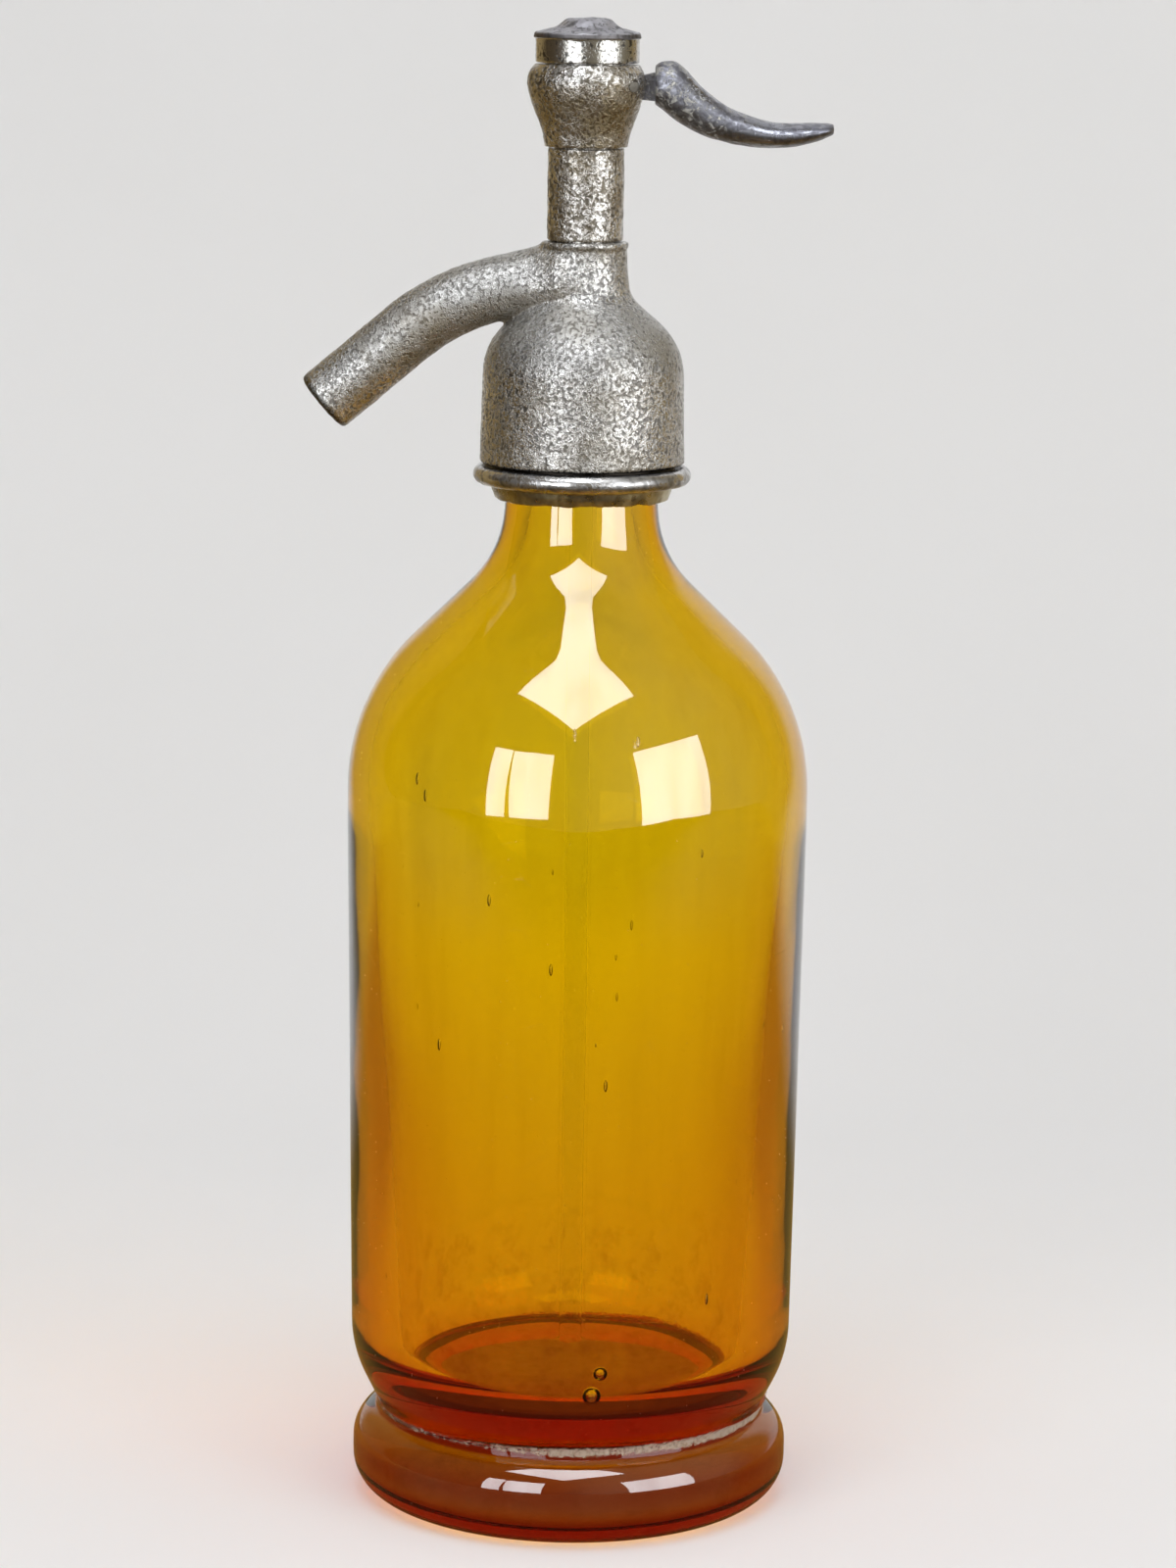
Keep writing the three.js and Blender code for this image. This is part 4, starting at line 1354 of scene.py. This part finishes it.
@dataclass
class Head:
    """Bell, crown and curved spout, cast in one piece."""

    rim: float = 211.8
    bell_radius: float = 20.4
    bell_taper: float = 0.6
    bell_bore: float = 18.9
    bell_roof: float = 221.6
    bell_round: float = 13.5
    shoulder: float = 235.3
    crown: float = 245.1
    crown_round: float = 5.0
    neck_radius: float = 8.4
    neck_bore: float = 6.3
    top: float = 255.6
    seat_radius: float = 15.3
    seat_roof: float = 223.3
    way_radius: float = 2.6
    way_top: float = 240.2
    chamber_radius: float = 4.6
    chamber_top: float = 243.0
    packing_radius: float = 5.6
    packing_top: float = 251.4
    spout_level: float = 247.2
    spout_radius: float = 6.45
    spout_bore: float = 4.0
    straight: float = 7.3
    bend: float = 43.0
    drop: float = math.radians(40.3)
    tip: float = 21.8
    flare: float = 2.6
    flare_start: float = 5.6
    flare_length: float = 13.6
    voxel: float = 0.42
    patch_place: tuple = (-14, -14.6, 227)
    patch_scale: tuple = (220, 180, 95)
    tarnish: Colour = (44, 40, 36)

    @property
    def spout_length(self) -> float:
        """Length of the spout's middle line."""
        return self.straight + self.bend * self.drop + self.tip

    def route(self, distance: float) -> tuple[Vector, float]:
        """Follows the spout's middle line.

        Args:
            distance: Millimetres from the head's axis.

        Returns:
            The place there and the lean of the spout.
        """
        bent = self.bend * self.drop
        lean = min(max(distance - self.straight, 0.0), bent) / self.bend
        beyond = max(distance - self.straight - bent, 0.0)
        reach = min(distance, self.straight) + self.bend * math.sin(lean) + beyond * math.cos(lean)
        fall = self.bend * (1 - math.cos(lean)) + beyond * math.sin(lean)
        return Vector((-reach, 0, self.spout_level - fall)), lean

    def spout(self, name: str, overrun: float, radius: Callable[[float], float]) -> bpy.types.Object:
        """Sweeps a round bar along the spout's route.

        Args:
            name: The bar's name.
            overrun: How far it runs past the tip.
            radius: Takes a distance and gives the radius there.

        Returns:
            The bar.
        """
        total = self.spout_length
        distances = [total * step / 60 for step in range(58)]
        distances += [total + overrun] if overrun else [total - 0.9, total - 0.5, total - 0.15, total]
        stations = [Station(*self.route(place), radius(place), radius(place)) for place in distances]
        return sweep(name, stations, sides=64)

    def outer_radius(self, distance: float) -> float:
        """Radius of the spout, flared where it leaves the head and rounded at the tip.

        Args:
            distance: Millimetres from the head's axis.

        Returns:
            The radius there.
        """
        fade = max(0.0, 1 - max(distance - self.flare_start, 0) / self.flare_length)
        near_tip = max(0.0, 1 - (self.spout_length - distance))
        rounding = 1 - math.sqrt(max(0.0, 1 - near_tip**2))
        return self.spout_radius + self.flare * fade**3 - rounding * 0.9

    def build(self) -> None:
        """Builds the casting."""
        corners = [
            (0, self.rim),
            (self.bell_radius, self.rim, 0.5),
            (self.bell_radius - self.bell_taper, self.shoulder, self.bell_round),
            (self.neck_radius + 0.6, self.crown, self.crown_round),
            (self.neck_radius, self.top - 4.2),
            (self.neck_radius - 0.12, self.top - 1.3),
            (self.neck_radius + 0.22, self.top - 0.9, 0.3),
            (self.neck_radius + 0.2, self.top, 0.3),
            (0, self.top),
        ]
        casting = turn("head_body_cast", corners, longest=2.0)
        combine(casting, self.spout("spout_bar", 0.0, self.outer_radius), Shape.FUSE)
        modify(casting, "REMESH", mode="VOXEL", voxel_size=mm(self.voxel))
        joint = weigh(casting, "joint", self.joint_weight)
        modify(casting, "SMOOTH", factor=0.5, iterations=14, vertex_group=joint)
        roughen(casting, 6.0, 0.3)
        roughen(casting, 1.0, 0.16)
        combine(casting, self.hollow(), Shape.CUT)
        combine(casting, self.spout("spout_hollow", CUT_OVER, lambda distance: self.spout_bore), Shape.CUT)
        stand(casting, self.finish(), "pitted_pewter", "head_body", sharpest=60)

    def finish(self) -> bpy.types.Material:
        """Makes the head's material, black over the collar, dark at the mouth and tarnished on its left.

        Returns:
            The material.
        """
        paint = Paint("head_finish")
        x, y, z = paint.split(paint.place)
        low = z.fade(self.shoulder, self.shoulder - 9)
        crown = z.fade(self.crown - 3, self.crown + 1)
        neck = crown * x.fade(-self.neck_radius - 4, -self.neck_radius + 1)
        sockets = BELL_PEWTER.coat(paint, low.or_more(neck) * 0.5 + 0.5)
        ragged = (sockets["height"] - 0.5) * mm(1.6)
        seam = (z + ragged).fade(self.rim + 0.6, self.rim + 0.2)
        away = paint.vector("SUBTRACT", paint.place, mm(*self.patch_place))
        apart = paint.vector("LENGTH", paint.vector("MULTIPLY", away, self.patch_scale))
        broken = paint.noise(paint.place, 520.0, 4.0, roughness=0.7)
        tarnish = (apart + broken * 1.6).ramp(2.1, 1.0, 0.0, 0.6)
        tarnish = tarnish * sockets["height"].ramp(0.6, 0.46, 0.15, 1.0)
        tip, lean = self.route(self.spout_length)
        outward = Vector((-math.cos(lean), 0, -math.sin(lean)))
        end = tip.dot(outward)
        along = paint.vector("DOT_PRODUCT", paint.place, outward)
        mouth = (along + ragged).fade(end - 1.5, end - 0.5, 0.0, 0.8)
        dark = seam.or_more(mouth).or_more(tarnish)
        paint.set({"Base Color": paint.mix(dark, sockets["base"], self.tarnish)})
        return paint.material

    def joint_weight(self, place: Vector) -> float:
        """How far the seam between spout and bell is smoothed."""
        along = smoothstep(-7, -10, place.x) * smoothstep(-27, -20, place.x)
        return along * smoothstep(232, 238, place.z)

    def hollow(self) -> bpy.types.Object:
        """Builds the space inside the bell and the valve's way through the head.

        Returns:
            The solid that cuts it.
        """
        base, top = self.rim - CUT_OVER, self.top + CUT_OVER
        corners = [(0, base)]
        for radius, roof in (
            (self.bell_bore, self.bell_roof),
            (self.seat_radius, self.seat_roof),
            (self.way_radius, self.way_top),
            (self.chamber_radius, self.chamber_top),
            (self.packing_radius, self.packing_top),
            (self.neck_bore, top),
        ):
            corners += [(radius, base), (radius, roof)]
            base = roof
        return turn("head_hollow", corners + [(0, top)], longest=10.0, steps=96)


@dataclass
class Column:
    """Round column between the bell and the lever housing."""

    radius: float = 7.55
    foot_spigot: float = 6.0
    foot_bore: float = 4.2
    rod_bore: float = 2.3
    bore: float = 4.4
    top_spigot: float = 6.4
    spigot_base: float = 251.7
    web_base: float = 257.5
    web_top: float = 259.0
    base: float = 255.9
    top: float = 273.9
    spigot_top: float = 278.5

    def build(self) -> None:
        """Builds the column."""
        corners = [
            (self.foot_bore, self.spigot_base),
            (self.foot_spigot, self.spigot_base),
            (self.foot_spigot, self.base),
            (self.radius, self.base, 0.3),
            (self.radius, self.top, 0.2),
            (self.top_spigot, self.top),
            (self.top_spigot, self.spigot_top),
            (self.bore, self.spigot_top),
            (self.bore, self.web_top),
            (self.rod_bore, self.web_top),
            (self.rod_bore, self.web_base),
            (self.foot_bore, self.web_base),
        ]
        column = turn("column_cast", corners, longest=0.4)
        skin = weigh(column, "skin", lambda place: smoothstep(7.0, 7.4, from_axis(place)))
        roughen(column, 5.0, 0.25, skin)
        roughen(column, 1.0, 0.2, skin)
        stand(column, COLUMN_PEWTER.make(), "pitted_pewter", "column_tube")


@dataclass
class LeverHousing:
    """Bulb with the lever's window, its pin holes and the thread for the cap."""

    bore: float = 6.7
    base: float = 274.2
    foot: float = 8.15
    bulb: float = 11.85
    thread: float = 8.4
    top_radius: float = 10.23
    top: float = 290.3
    thread_top: float = 293.6
    slot_width: float = 5.2
    slot_start: float = 3.0
    window_base: float = 282.3
    window_top: float = 289.6
    window_round: float = 0.8
    pin_radius: float = 1.05
    pin_clearance: float = 0.25
    pin_reach: float = 9.275
    pin_level: float = 286.2

    def build(self) -> None:
        """Builds the bulb and cuts its window and pin holes."""
        corners = [
            (self.bore, self.base),
            (self.foot, self.base, 0.25),
            (self.foot + 0.4, self.base + 2.5, 8),
            (self.bulb - 0.5, self.base + 9.8, 9),
            (self.bulb, self.base + 12.6, 4),
            (self.bulb - 0.5, self.base + 14.7, 2.5),
            (self.top_radius, self.top, 0.3),
            (self.thread, self.top),
            (self.thread, self.thread_top),
            (self.bore, self.thread_top),
        ]
        bulb = turn("lever_housing_cast", corners, longest=0.45)
        skin = weigh(bulb, "skin", self.skin_weight)
        roughen(bulb, 5.0, 0.35, skin)
        roughen(bulb, 1.1, 0.24, skin)
        combine(bulb, self.window(), Shape.CUT)
        combine(bulb, self.pin_bar(), Shape.CUT)
        stand(bulb, COLUMN_PEWTER.make(), "pitted_pewter", "lever_housing")

    def skin_weight(self, place: Vector) -> float:
        """How rough the bulb is: its outer skin alone, less at the seams."""
        outer = smoothstep(self.foot - 0.6, self.foot, from_axis(place))
        return outer * smoothstep(self.top, self.top - 0.8, place.z)

    def window(self) -> bpy.types.Object:
        """Builds the block that cuts the lever's window.

        Returns:
            The block.
        """
        centre = mm(self.bulb, 0, (self.window_base + self.window_top) / 2)
        size = (2 * (self.bulb - self.slot_start), self.slot_width, self.window_top - self.window_base)
        fresh()
        bpy.ops.mesh.primitive_cube_add(size=MILLIMETRE, location=centre)
        block = bpy.context.object
        edit(block)
        bpy.ops.transform.resize(value=size, center_override=centre)
        close_edit()
        settle(block, "window_block")
        modify(block, "BEVEL", width=mm(self.window_round), segments=5)
        return block

    def pin_bar(self, clearance: float = 0.0) -> bpy.types.Object:
        """Builds the bar that drills the pin holes.

        Args:
            clearance: What is added to the bar's radius.

        Returns:
            The bar.
        """
        fresh()
        bpy.ops.mesh.primitive_cylinder_add(
            vertices=32, radius=mm(self.pin_radius + clearance), depth=mm(3 * self.bulb),
            location=mm(self.pin_reach, 0, self.pin_level), rotation=(math.pi / 2, 0, 0),
        )
        return settle(bpy.context.object, "pin_bar")


@dataclass
class Cap:
    """Screwed cap: a bright skirt under a rolled rim and a dull, knocked-about dome."""

    bore: float = 8.7
    radius: float = 10.23
    base: float = 290.6
    skirt_top: float = 295.3
    rim_reach: float = 0.25
    rim_top: float = 296.4
    slope_radius: float = 6.6
    slope_level: float = 297.3
    knob_radius: float = 4.3
    knob_level: float = 299.1
    top: float = 299.35
    roof: float = 295.0
    recess_radius: float = 4.6
    recess_roof: float = 296.6
    dull: Colour = (116, 115, 120)
    pale: Colour = (180, 179, 185)
    crease: Colour = (64, 62, 64)
    rim_dirt: Colour = (70, 66, 64)

    def build(self) -> None:
        """Builds the cap."""
        corners = [
            (0, self.recess_roof),
            (self.recess_radius, self.recess_roof),
            (self.recess_radius, self.roof),
            (self.bore, self.roof),
            (self.bore, self.base),
            (self.radius, self.base, 0.2),
            (self.radius, self.skirt_top, 0.2),
            (self.radius + self.rim_reach, self.skirt_top + 0.15, 0.25),
            (self.radius + 0.1, self.rim_top, 0.5),
            (self.slope_radius, self.slope_level, 4),
            (self.knob_radius, self.knob_level, 2.6),
            (0, self.top),
        ]
        cap = turn("top_cap_cast", corners, longest=0.45)
        dome = weigh(cap, "dome", lambda place: smoothstep(self.skirt_top + 0.3, self.slope_level, place.z))
        roughen(cap, 4.5, 0.7, dome, "Z")
        roughen(cap, 1.8, 0.3, dome, "Z")
        roughen(cap, 2.6, 0.5, weigh(cap, "rim", self.rim_weight))
        stand(cap, self.finish(), "bright_pewter", "top_cap")

    def rim_weight(self, place: Vector) -> float:
        """How far the rolled rim is knocked about."""
        outer = smoothstep(self.radius - 1, self.radius, from_axis(place))
        return outer * smoothstep(self.skirt_top - 0.4, self.skirt_top + 0.3, place.z)

    def finish(self) -> bpy.types.Material:
        """Makes the cap's material, bright on the skirt and dull on top.

        Returns:
            The material.
        """
        paint = Paint("cap_finish")
        sockets = CAP_PEWTER.coat(paint)
        level = paint.split(paint.place)[2]
        above = level.fade(self.skirt_top - 0.1, self.skirt_top + 0.25)
        creased = paint.noise(paint.place, 900.0, 3.0, distortion=0.8).ramp(0.38, 0.5, 0.7, 0.0)
        dull = paint.mix(paint.noise(paint.place, 330.0, 4.0), self.dull, self.pale)
        dull = paint.mix(creased, dull, self.crease)
        rim = level.fade(self.rim_top + 0.1, self.rim_top - 0.4) * 0.8
        dull = paint.mix(rim, dull, self.rim_dirt)
        paint.set({"Base Color": paint.mix(above, sockets["base"], dull)})
        paint.set({"Roughness": above.ramp(0.0, 1.0, sockets["rough"], 0.44)})
        return paint.material


# Lever and what it moves


@dataclass
class Lever:
    """Cast lever: a round root, a handle that flattens toward its tip, and the arm inside.

    Each row of shares is a station of the handle: its place along the length, its lower and upper edge
    in shares of the depth, and its width in shares of the breadth.
    """

    root: float = 13.4
    pivot: float = 286.2
    length: float = 35.2
    depth: float = 11.8
    breadth: float = 11.6
    arm_width: float = 4.6
    arm_overlap: float = 1.6
    nose_reach: float = 1.2
    nose_radius: float = 1.7
    nose_drop: float = 0.6
    throat: float = 6.7
    voxel: float = 0.24
    flake: Colour = (122, 121, 117)
    pale_flake: Colour = (178, 176, 170)
    shade: Colour = (62, 58, 54)
    shares: tuple = (
        (0, -0.305, 0.339, 0.66),
        (0.045, -0.398, 0.411, 0.8),
        (0.134, -0.597, 0.377, 0.88),
        (0.259, -0.797, 0, 0.9),
        (0.384, -0.907, -0.28, 0.93),
        (0.511, -0.975, -0.453, 0.97),
        (0.636, -1, -0.559, 1),
        (0.761, -0.983, -0.585, 1),
        (0.889, -0.898, -0.576, 0.92),
        (0.965, -0.81, -0.58, 0.76),
        (1, -0.755, -0.6, 0.5),
    )

    def stations(self, count: int = 60) -> list[Station]:
        """Rings along the handle.

        Args:
            count: Steps from the root to the tip.

        Returns:
            The rings.
        """
        rows = list(zip(*self.shares))
        rings = []
        for step in range(count + 1):
            along, low, high, wide = (smooth_row(row, step / count) for row in rows)
            middle = self.pivot + (low + high) / 2 * self.depth
            centre = Vector((self.root + along * self.length, 0, middle))
            rings.append(Station(centre, 0.0, wide * self.breadth / 2, (high - low) / 2 * self.depth))
        return rings

    def arm(self) -> bpy.types.Object:
        """Builds the flat arm from the handle's root to the nose in the crosshead's eye.

        Returns:
            The arm.
        """
        top = self.pivot + self.nose_radius - self.nose_drop
        floor = self.pivot - self.nose_radius - self.nose_drop
        end = self.nose_reach - self.nose_radius
        nose_round = self.nose_radius - 0.01
        inner = self.root + self.arm_overlap
        corners = [
            Corner(end, floor, nose_round),
            Corner(self.throat, floor),
            Corner(inner, floor - 0.7),
            Corner(inner, top + 1.9),
            Corner(self.throat, top),
            Corner(end, top, nose_round),
        ]
        outline = rounded(corners, True)
        arm = trace(outline + outline[:1], -self.arm_width / 2)
        bpy.ops.mesh.remove_doubles(threshold=SAME_PLACE)
        bpy.ops.mesh.edge_face_add()
        bpy.ops.mesh.extrude_region_move(TRANSFORM_OT_translate={"value": mm(0, self.arm_width, 0)})
        bpy.ops.mesh.select_all(action="SELECT")
        return close_skin(arm, "lever_arm")

    def build(self) -> None:
        """Builds the lever in one casting."""
        lever = sweep("lever_cast", self.stations())
        modify(lever, "REMESH", mode="VOXEL", voxel_size=mm(self.voxel))
        modify(lever, "SMOOTH", factor=0.5, iterations=6)
        roughen(lever, 5.0, 0.3)
        roughen(lever, 1.6, 0.08)
        combine(lever, self.arm(), Shape.FUSE)
        housing = LeverHousing()
        combine(lever, housing.pin_bar(housing.pin_clearance), Shape.CUT)
        stand(lever, self.finish(), "dark_pewter", "lever", body=Body.LEVER)

    def finish(self) -> bpy.types.Material:
        """Makes the lever's material, dark at its root and with pale flaked patches near it.

        Returns:
            The material.
        """
        paint = Paint("lever_finish")
        sockets = LEVER_PEWTER.coat(paint)
        reach = paint.split(paint.place)[0]
        broad = paint.noise(paint.place, 620.0, 6.0, roughness=0.74, distortion=0.5)
        flaked = (broad + reach.fade(self.root + 26, self.root + 4, 0.0, 0.1)).ramp(0.62, 0.68)
        pale = paint.mix(paint.noise(paint.place, 1500.0), self.flake, self.pale_flake)
        shaded = reach.fade(self.root + 1.2, self.root - 0.6, 0.0, 0.6)
        worn = paint.mix(flaked, sockets["base"], pale)
        paint.set({"Base Color": paint.mix(shaded, worn, self.shade)})
        paint.set({"Metallic": flaked.ramp(0.0, 1.0, 1.0, 0.45)})
        paint.set({"Roughness": flaked.ramp(0.0, 1.0, sockets["rough"], 0.55)})
        paint.emboss(sockets["height"] * 0.6 + flaked * 0.5, 0.12)
        return paint.material


@dataclass
class ReturnSpring:
    """Coil spring over the crosshead."""

    base: float = 289.3
    top: float = 296.3
    mean_radius: float = 3.6
    wire: float = 0.9
    turns: int = 4
    lift: float = 1.973

    def build(self) -> None:
        """Winds the spring from a ring of wire."""
        height = self.top - self.base
        start = mm(self.mean_radius, 0, self.base + self.wire / 2)
        fresh()
        bpy.ops.mesh.primitive_circle_add(
            vertices=14, radius=mm(self.wire / 2), location=start, rotation=(math.pi / 2, 0, 0)
        )
        coil = settle(bpy.context.object, "return_spring_wire")
        modify(
            coil, "SCREW", axis="Z", angle=math.tau, screw_offset=mm((height - self.wire) / self.turns),
            iterations=self.turns, steps=40, render_steps=40, use_merge_vertices=False,
        )
        edit(coil)
        bpy.ops.mesh.fill_holes(sides=0)
        bpy.ops.mesh.select_all(action="SELECT")
        close_skin(coil, "return_spring_wire")
        stand(coil, STEEL.make(), "steel", "return_spring", sharpest=60)
        tuple(mm(0, 0, self.top))
        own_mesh(coil)


class InnerWorks:
    """CAD pieces inside the head that keep their shape and get a better finish."""

    brass = (
        "tube_ferrule", "clamp_half_left", "clamp_half_right", "valve_seat", "valve_holder", "valve_screw",
        "piston_rod", "gland_nut", "packing_washer", "crosshead",
    )

    def build(self) -> None:
        """Gives each inner piece its finish."""
        redress(BRASS.make(), *self.brass)
        redress(RUBBER.make(), "tube_seal", "lip_gasket", "valve_disc")
        redress(LEATHER.make(), "rod_packing", "cap_gasket")
        redress(PIN_STEEL.make(), "lever_pin")


# Studio


@dataclass
class Lamp:
    """One soft box: where it stands as seen from the siphon, its size and its light.

    Its glint is light that only shiny surfaces return, as from a bright pane in a dark wall. The lamp is
    seen in reflections only, and not straight through the glass.
    """

    name: str
    azimuth: float
    elevation: float
    width: float
    height: float
    distance: float
    radiance: float = 2.85
    glint: float = 9.0
    turned: float = 0.0
    tint: Colour = (0.95, 0.975, 1.0)

    def build(self, target: Vector) -> None:
        """Adds the lamp, aimed at a target.

        Args:
            target: The place that it faces, in metres.
        """
        side, rise = math.radians(self.azimuth), math.radians(self.elevation)
        way = Vector((math.sin(side) * math.cos(rise), -math.cos(side) * math.cos(rise), math.sin(rise)))
        twist = Matrix.Rotation(math.radians(self.turned), 3, "Z")
        facing = (-way).to_track_quat("-Z", "Y").to_matrix() @ twist
        for name, radiance in ((self.name, self.radiance), (f"{self.name}_glint", self.glint)):
            data = bpy.data.lights.new(name, "AREA")
            data.shape = "RECTANGLE"
            data.size, data.size_y = self.width, self.height
            data.energy = radiance * self.width * self.height * math.pi
            data.color = self.tint
            data.use_nodes = True
            graph = Graph(data.node_tree)
            path = graph.outputs("LightPath")
            straight = graph.math("LESS_THAN", path["Glossy Depth"], 0.5)
            strength = data.node_tree.nodes["Emission"].inputs["Strength"]
            graph.feed(strength, 1.0 - straight * path["Is Transmission Ray"])
            lamp = bpy.data.objects.new(name, data)
            bpy.context.scene.collection.objects.link(lamp)
            lamp.visible_camera = False
            lamp.location = target + way * self.distance
            lamp.rotation_euler = facing.to_euler()
        lamp.visible_diffuse = False


@dataclass
class Studio:
    """Pale floor that curves up behind, soft boxes, the world's light and the camera.

    Mirrored rays meet darker colours on the floor than the camera does, in place of the room and the
    table round the real siphon.
    """

    back: float = 700.0
    front: float = 900.0
    half_width: float = 1500.0
    rise: float = 1500.0
    cove: float = 420.0
    glow: float = 0.25
    target_level: float = 150.0
    near: tuple = (380, 220)
    before: tuple = (-350, -600)
    turning: tuple = (60, -60)
    left: tuple = (-200, -350)
    right: tuple = (450, 700)
    outside: tuple = (40, 200)
    inside: tuple = (1100, 600)
    behind_from: tuple = (40, 120)
    behind_to: tuple = (320, 210)
    flat: tuple = (36, 8)
    fade_side: tuple = (450, 900)
    fade_near: tuple = (-300, -650)
    pale: Colour = (222, 222, 224)
    floor_low: Colour = (219, 219, 219)
    floor_high: Colour = (227, 227, 228)
    around_near: Colour = (96, 80, 55)
    around_far: Colour = (150, 122, 62)
    dark_room: Colour = (22, 18, 11)
    aside_room: Colour = (162, 142, 100)
    beside_glass: Colour = (184, 162, 126)
    room_left: Colour = (74, 62, 44)
    room_right: Colour = (122, 113, 92)
    camera_place: tuple[float, float, float] = (0.0, -1000.0, 323.8)
    camera_drop: float = math.radians(10.04)
    camera_turn: float = math.radians(0.12)
    camera_roll: float = math.radians(0.8)
    focal: float = 115.83
    sensor_width: float = 27.0
    sensor_height: float = 36.0

    def build(self) -> None:
        """Builds the studio."""
        self.build_floor()
        self.build_world()
        for lamp in (
            Lamp("window_left_outer", -40.2, 11.0, 0.22, 0.78, 1.3),
            Lamp("window_left_inner", -23.5, 11.0, 0.46, 0.78, 1.3),
            Lamp("window_right", 49.7, 9.0, 0.88, 0.95, 1.3),
            Lamp("skylight", -3.0, 65.0, 0.88, 0.88, 1.35, glint=18.0, turned=45.0),
        ):
            lamp.build(mm(0, 0, self.target_level))
        self.build_camera()

    def build_floor(self) -> None:
        """Builds the floor and the backdrop as one curved sheet."""
        sheet = plane_point()
        bpy.ops.transform.resize(value=(2 * self.half_width, self.front + self.back, 1))
        bpy.ops.transform.translate(value=mm(0, (self.back - self.front) / 2, 0))
        bpy.ops.mesh.select_all(action="DESELECT")
        close_edit()
        for edge in sheet.data.edges:
            edge.select = min(sheet.data.vertices[i].co.y for i in edge.vertices) > 0
        bpy.ops.object.mode_set(mode="EDIT")
        bpy.ops.mesh.select_mode(type="EDGE")
        bpy.ops.mesh.extrude_region_move(TRANSFORM_OT_translate={"value": mm(0, 0, self.rise)})
        close_edit()
        settle(sheet, "floor_sheet")
        modify(sheet, "BEVEL", width=mm(self.cove), segments=24, limit_method="ANGLE")
        dress(sheet, self.floor_finish(), 60)

    def floor_finish(self) -> bpy.types.Material:
        """Makes the floor's material.

        It is pale to the camera, fades to the world's colour far off, and lets a camera behind it look
        through. Mirrored rays meet other colours, and rays through the glass meet a painted shade beside and
        behind the bottle.

        Returns:
            The material.
        """
        paint = Paint("floor")
        path = paint.outputs("LightPath")
        seen, through, glossy = path["Is Camera Ray"], path["Is Transmission Ray"], path["Is Glossy Ray"]
        x, y, z = paint.split(paint.place)
        across = abs(x)
        pale = paint.mix(paint.noise(paint.place, 4.0, 3.0), self.floor_low, self.floor_high)
        around = paint.mix(y.fade(*self.turning), self.around_far, self.around_near)
        around = paint.mix(y.fade(*self.before), around, self.dark_room)
        room = paint.mix(x.fade(*self.left).or_more(x.fade(*self.right)), pale, self.aside_room)
        room = paint.mix(y.fade(*self.near), room, around)
        shown = paint.mix(glossy * (1.0 - through), pale, room)
        # painted shade: rays through the glass meet a darker floor beside and behind the bottle, which
        # darkens the glass's sides
        beside = across.fade(*self.outside) * across.fade(*self.inside)
        beyond = y.fade(*self.behind_from) * z.fade(*self.flat) * y.fade(*self.behind_to) * through
        shown = paint.mix(beside * beyond, shown, self.beside_glass)
        looked_at = paint.math("ADD", seen + glossy, through, clamp=True)
        paint.set({"Base Color": shown, "Emission Color": shown, "Emission Strength": looked_at * self.glow})
        paint.set({"Roughness": 0.9, "Specular IOR Level": 0.0})
        far = across.fade(*self.fade_side).or_more(y.fade(*self.fade_near)) * seen
        level = paint.outputs("Emission", {"Color": self.pale})["Emission"]
        behind = paint.outputs("NewGeometry")["Backfacing"] * seen
        clear = paint.outputs("BsdfTransparent")["BSDF"]
        paint.show(paint.blend(behind, paint.blend(far, paint.lit, level), clear))
        return paint.material

    def build_world(self) -> None:
        """Lights the siphon from all round: pale behind and above, darker in front."""
        world = bpy.data.worlds.new("studio")
        bpy.context.scene.world = world
        world.use_nodes = True
        graph = Graph(world.node_tree)
        x, y, _ = graph.split(graph.outputs("TexCoord")["Generated"])
        path = graph.outputs("LightPath")
        room = graph.mix(x.ramp(-0.3, 0.6), self.room_left, self.room_right)
        shown = graph.mix((y + x * 0.2).ramp(0.6, 0.85), room, self.pale)
        filled = graph.mix(y.ramp(0.2, -0.6), self.pale, room)
        seen = graph.math("ADD", path["Is Camera Ray"], path["Is Transmission Ray"], clamp=True)
        shade = graph.mix(path["Is Glossy Ray"], filled, shown)
        background = world.node_tree.nodes["Background"]
        graph.feed(background.inputs["Color"], graph.mix(seen, shade, self.pale))
        background.inputs["Strength"].default_value = 1.0

    def build_camera(self) -> None:
        """Stands the camera where the photograph was taken."""
        turn_sin, turn_cos = math.sin(self.camera_turn), math.cos(self.camera_turn)
        drop_sin, drop_cos = math.sin(self.camera_drop), math.cos(self.camera_drop)
        forward = Vector((turn_sin * drop_cos, turn_cos * drop_cos, -drop_sin))
        right = forward.cross(Vector((0, 0, 1))).normalized()
        up = right.cross(forward)
        roll_sin, roll_cos = math.sin(self.camera_roll), math.cos(self.camera_roll)
        across = right * roll_cos + up * roll_sin
        upward = up * roll_cos - right * roll_sin
        data = bpy.data.cameras.new("photo_view")
        data.sensor_fit = "VERTICAL"
        data.sensor_width, data.sensor_height = self.sensor_width, self.sensor_height
        data.lens = self.focal
        data.clip_start = 0.01
        camera = bpy.data.objects.new("photo_view", data)
        bpy.context.scene.collection.objects.link(camera)
        axes = Matrix((across, upward, -forward)).transposed().to_4x4()
        camera.matrix_world = Matrix.Translation(mm(*self.camera_place)) @ axes
        bpy.context.scene.camera = camera


def main() -> None:
    """Builds the siphon and its studio, in the order in which it is put together."""
    logging.basicConfig(level=logging.INFO, format="%(name)s %(message)s")
    bpy.context.scene.view_settings.view_transform = "Standard"
    for part in (
        Bottle(), DipTube(), Collar(), Head(), Column(), LeverHousing(), Cap(), Lever(), ReturnSpring(),
        InnerWorks(), Studio(),
    ):
        part.build()


if __name__ == "__main__":
    main()
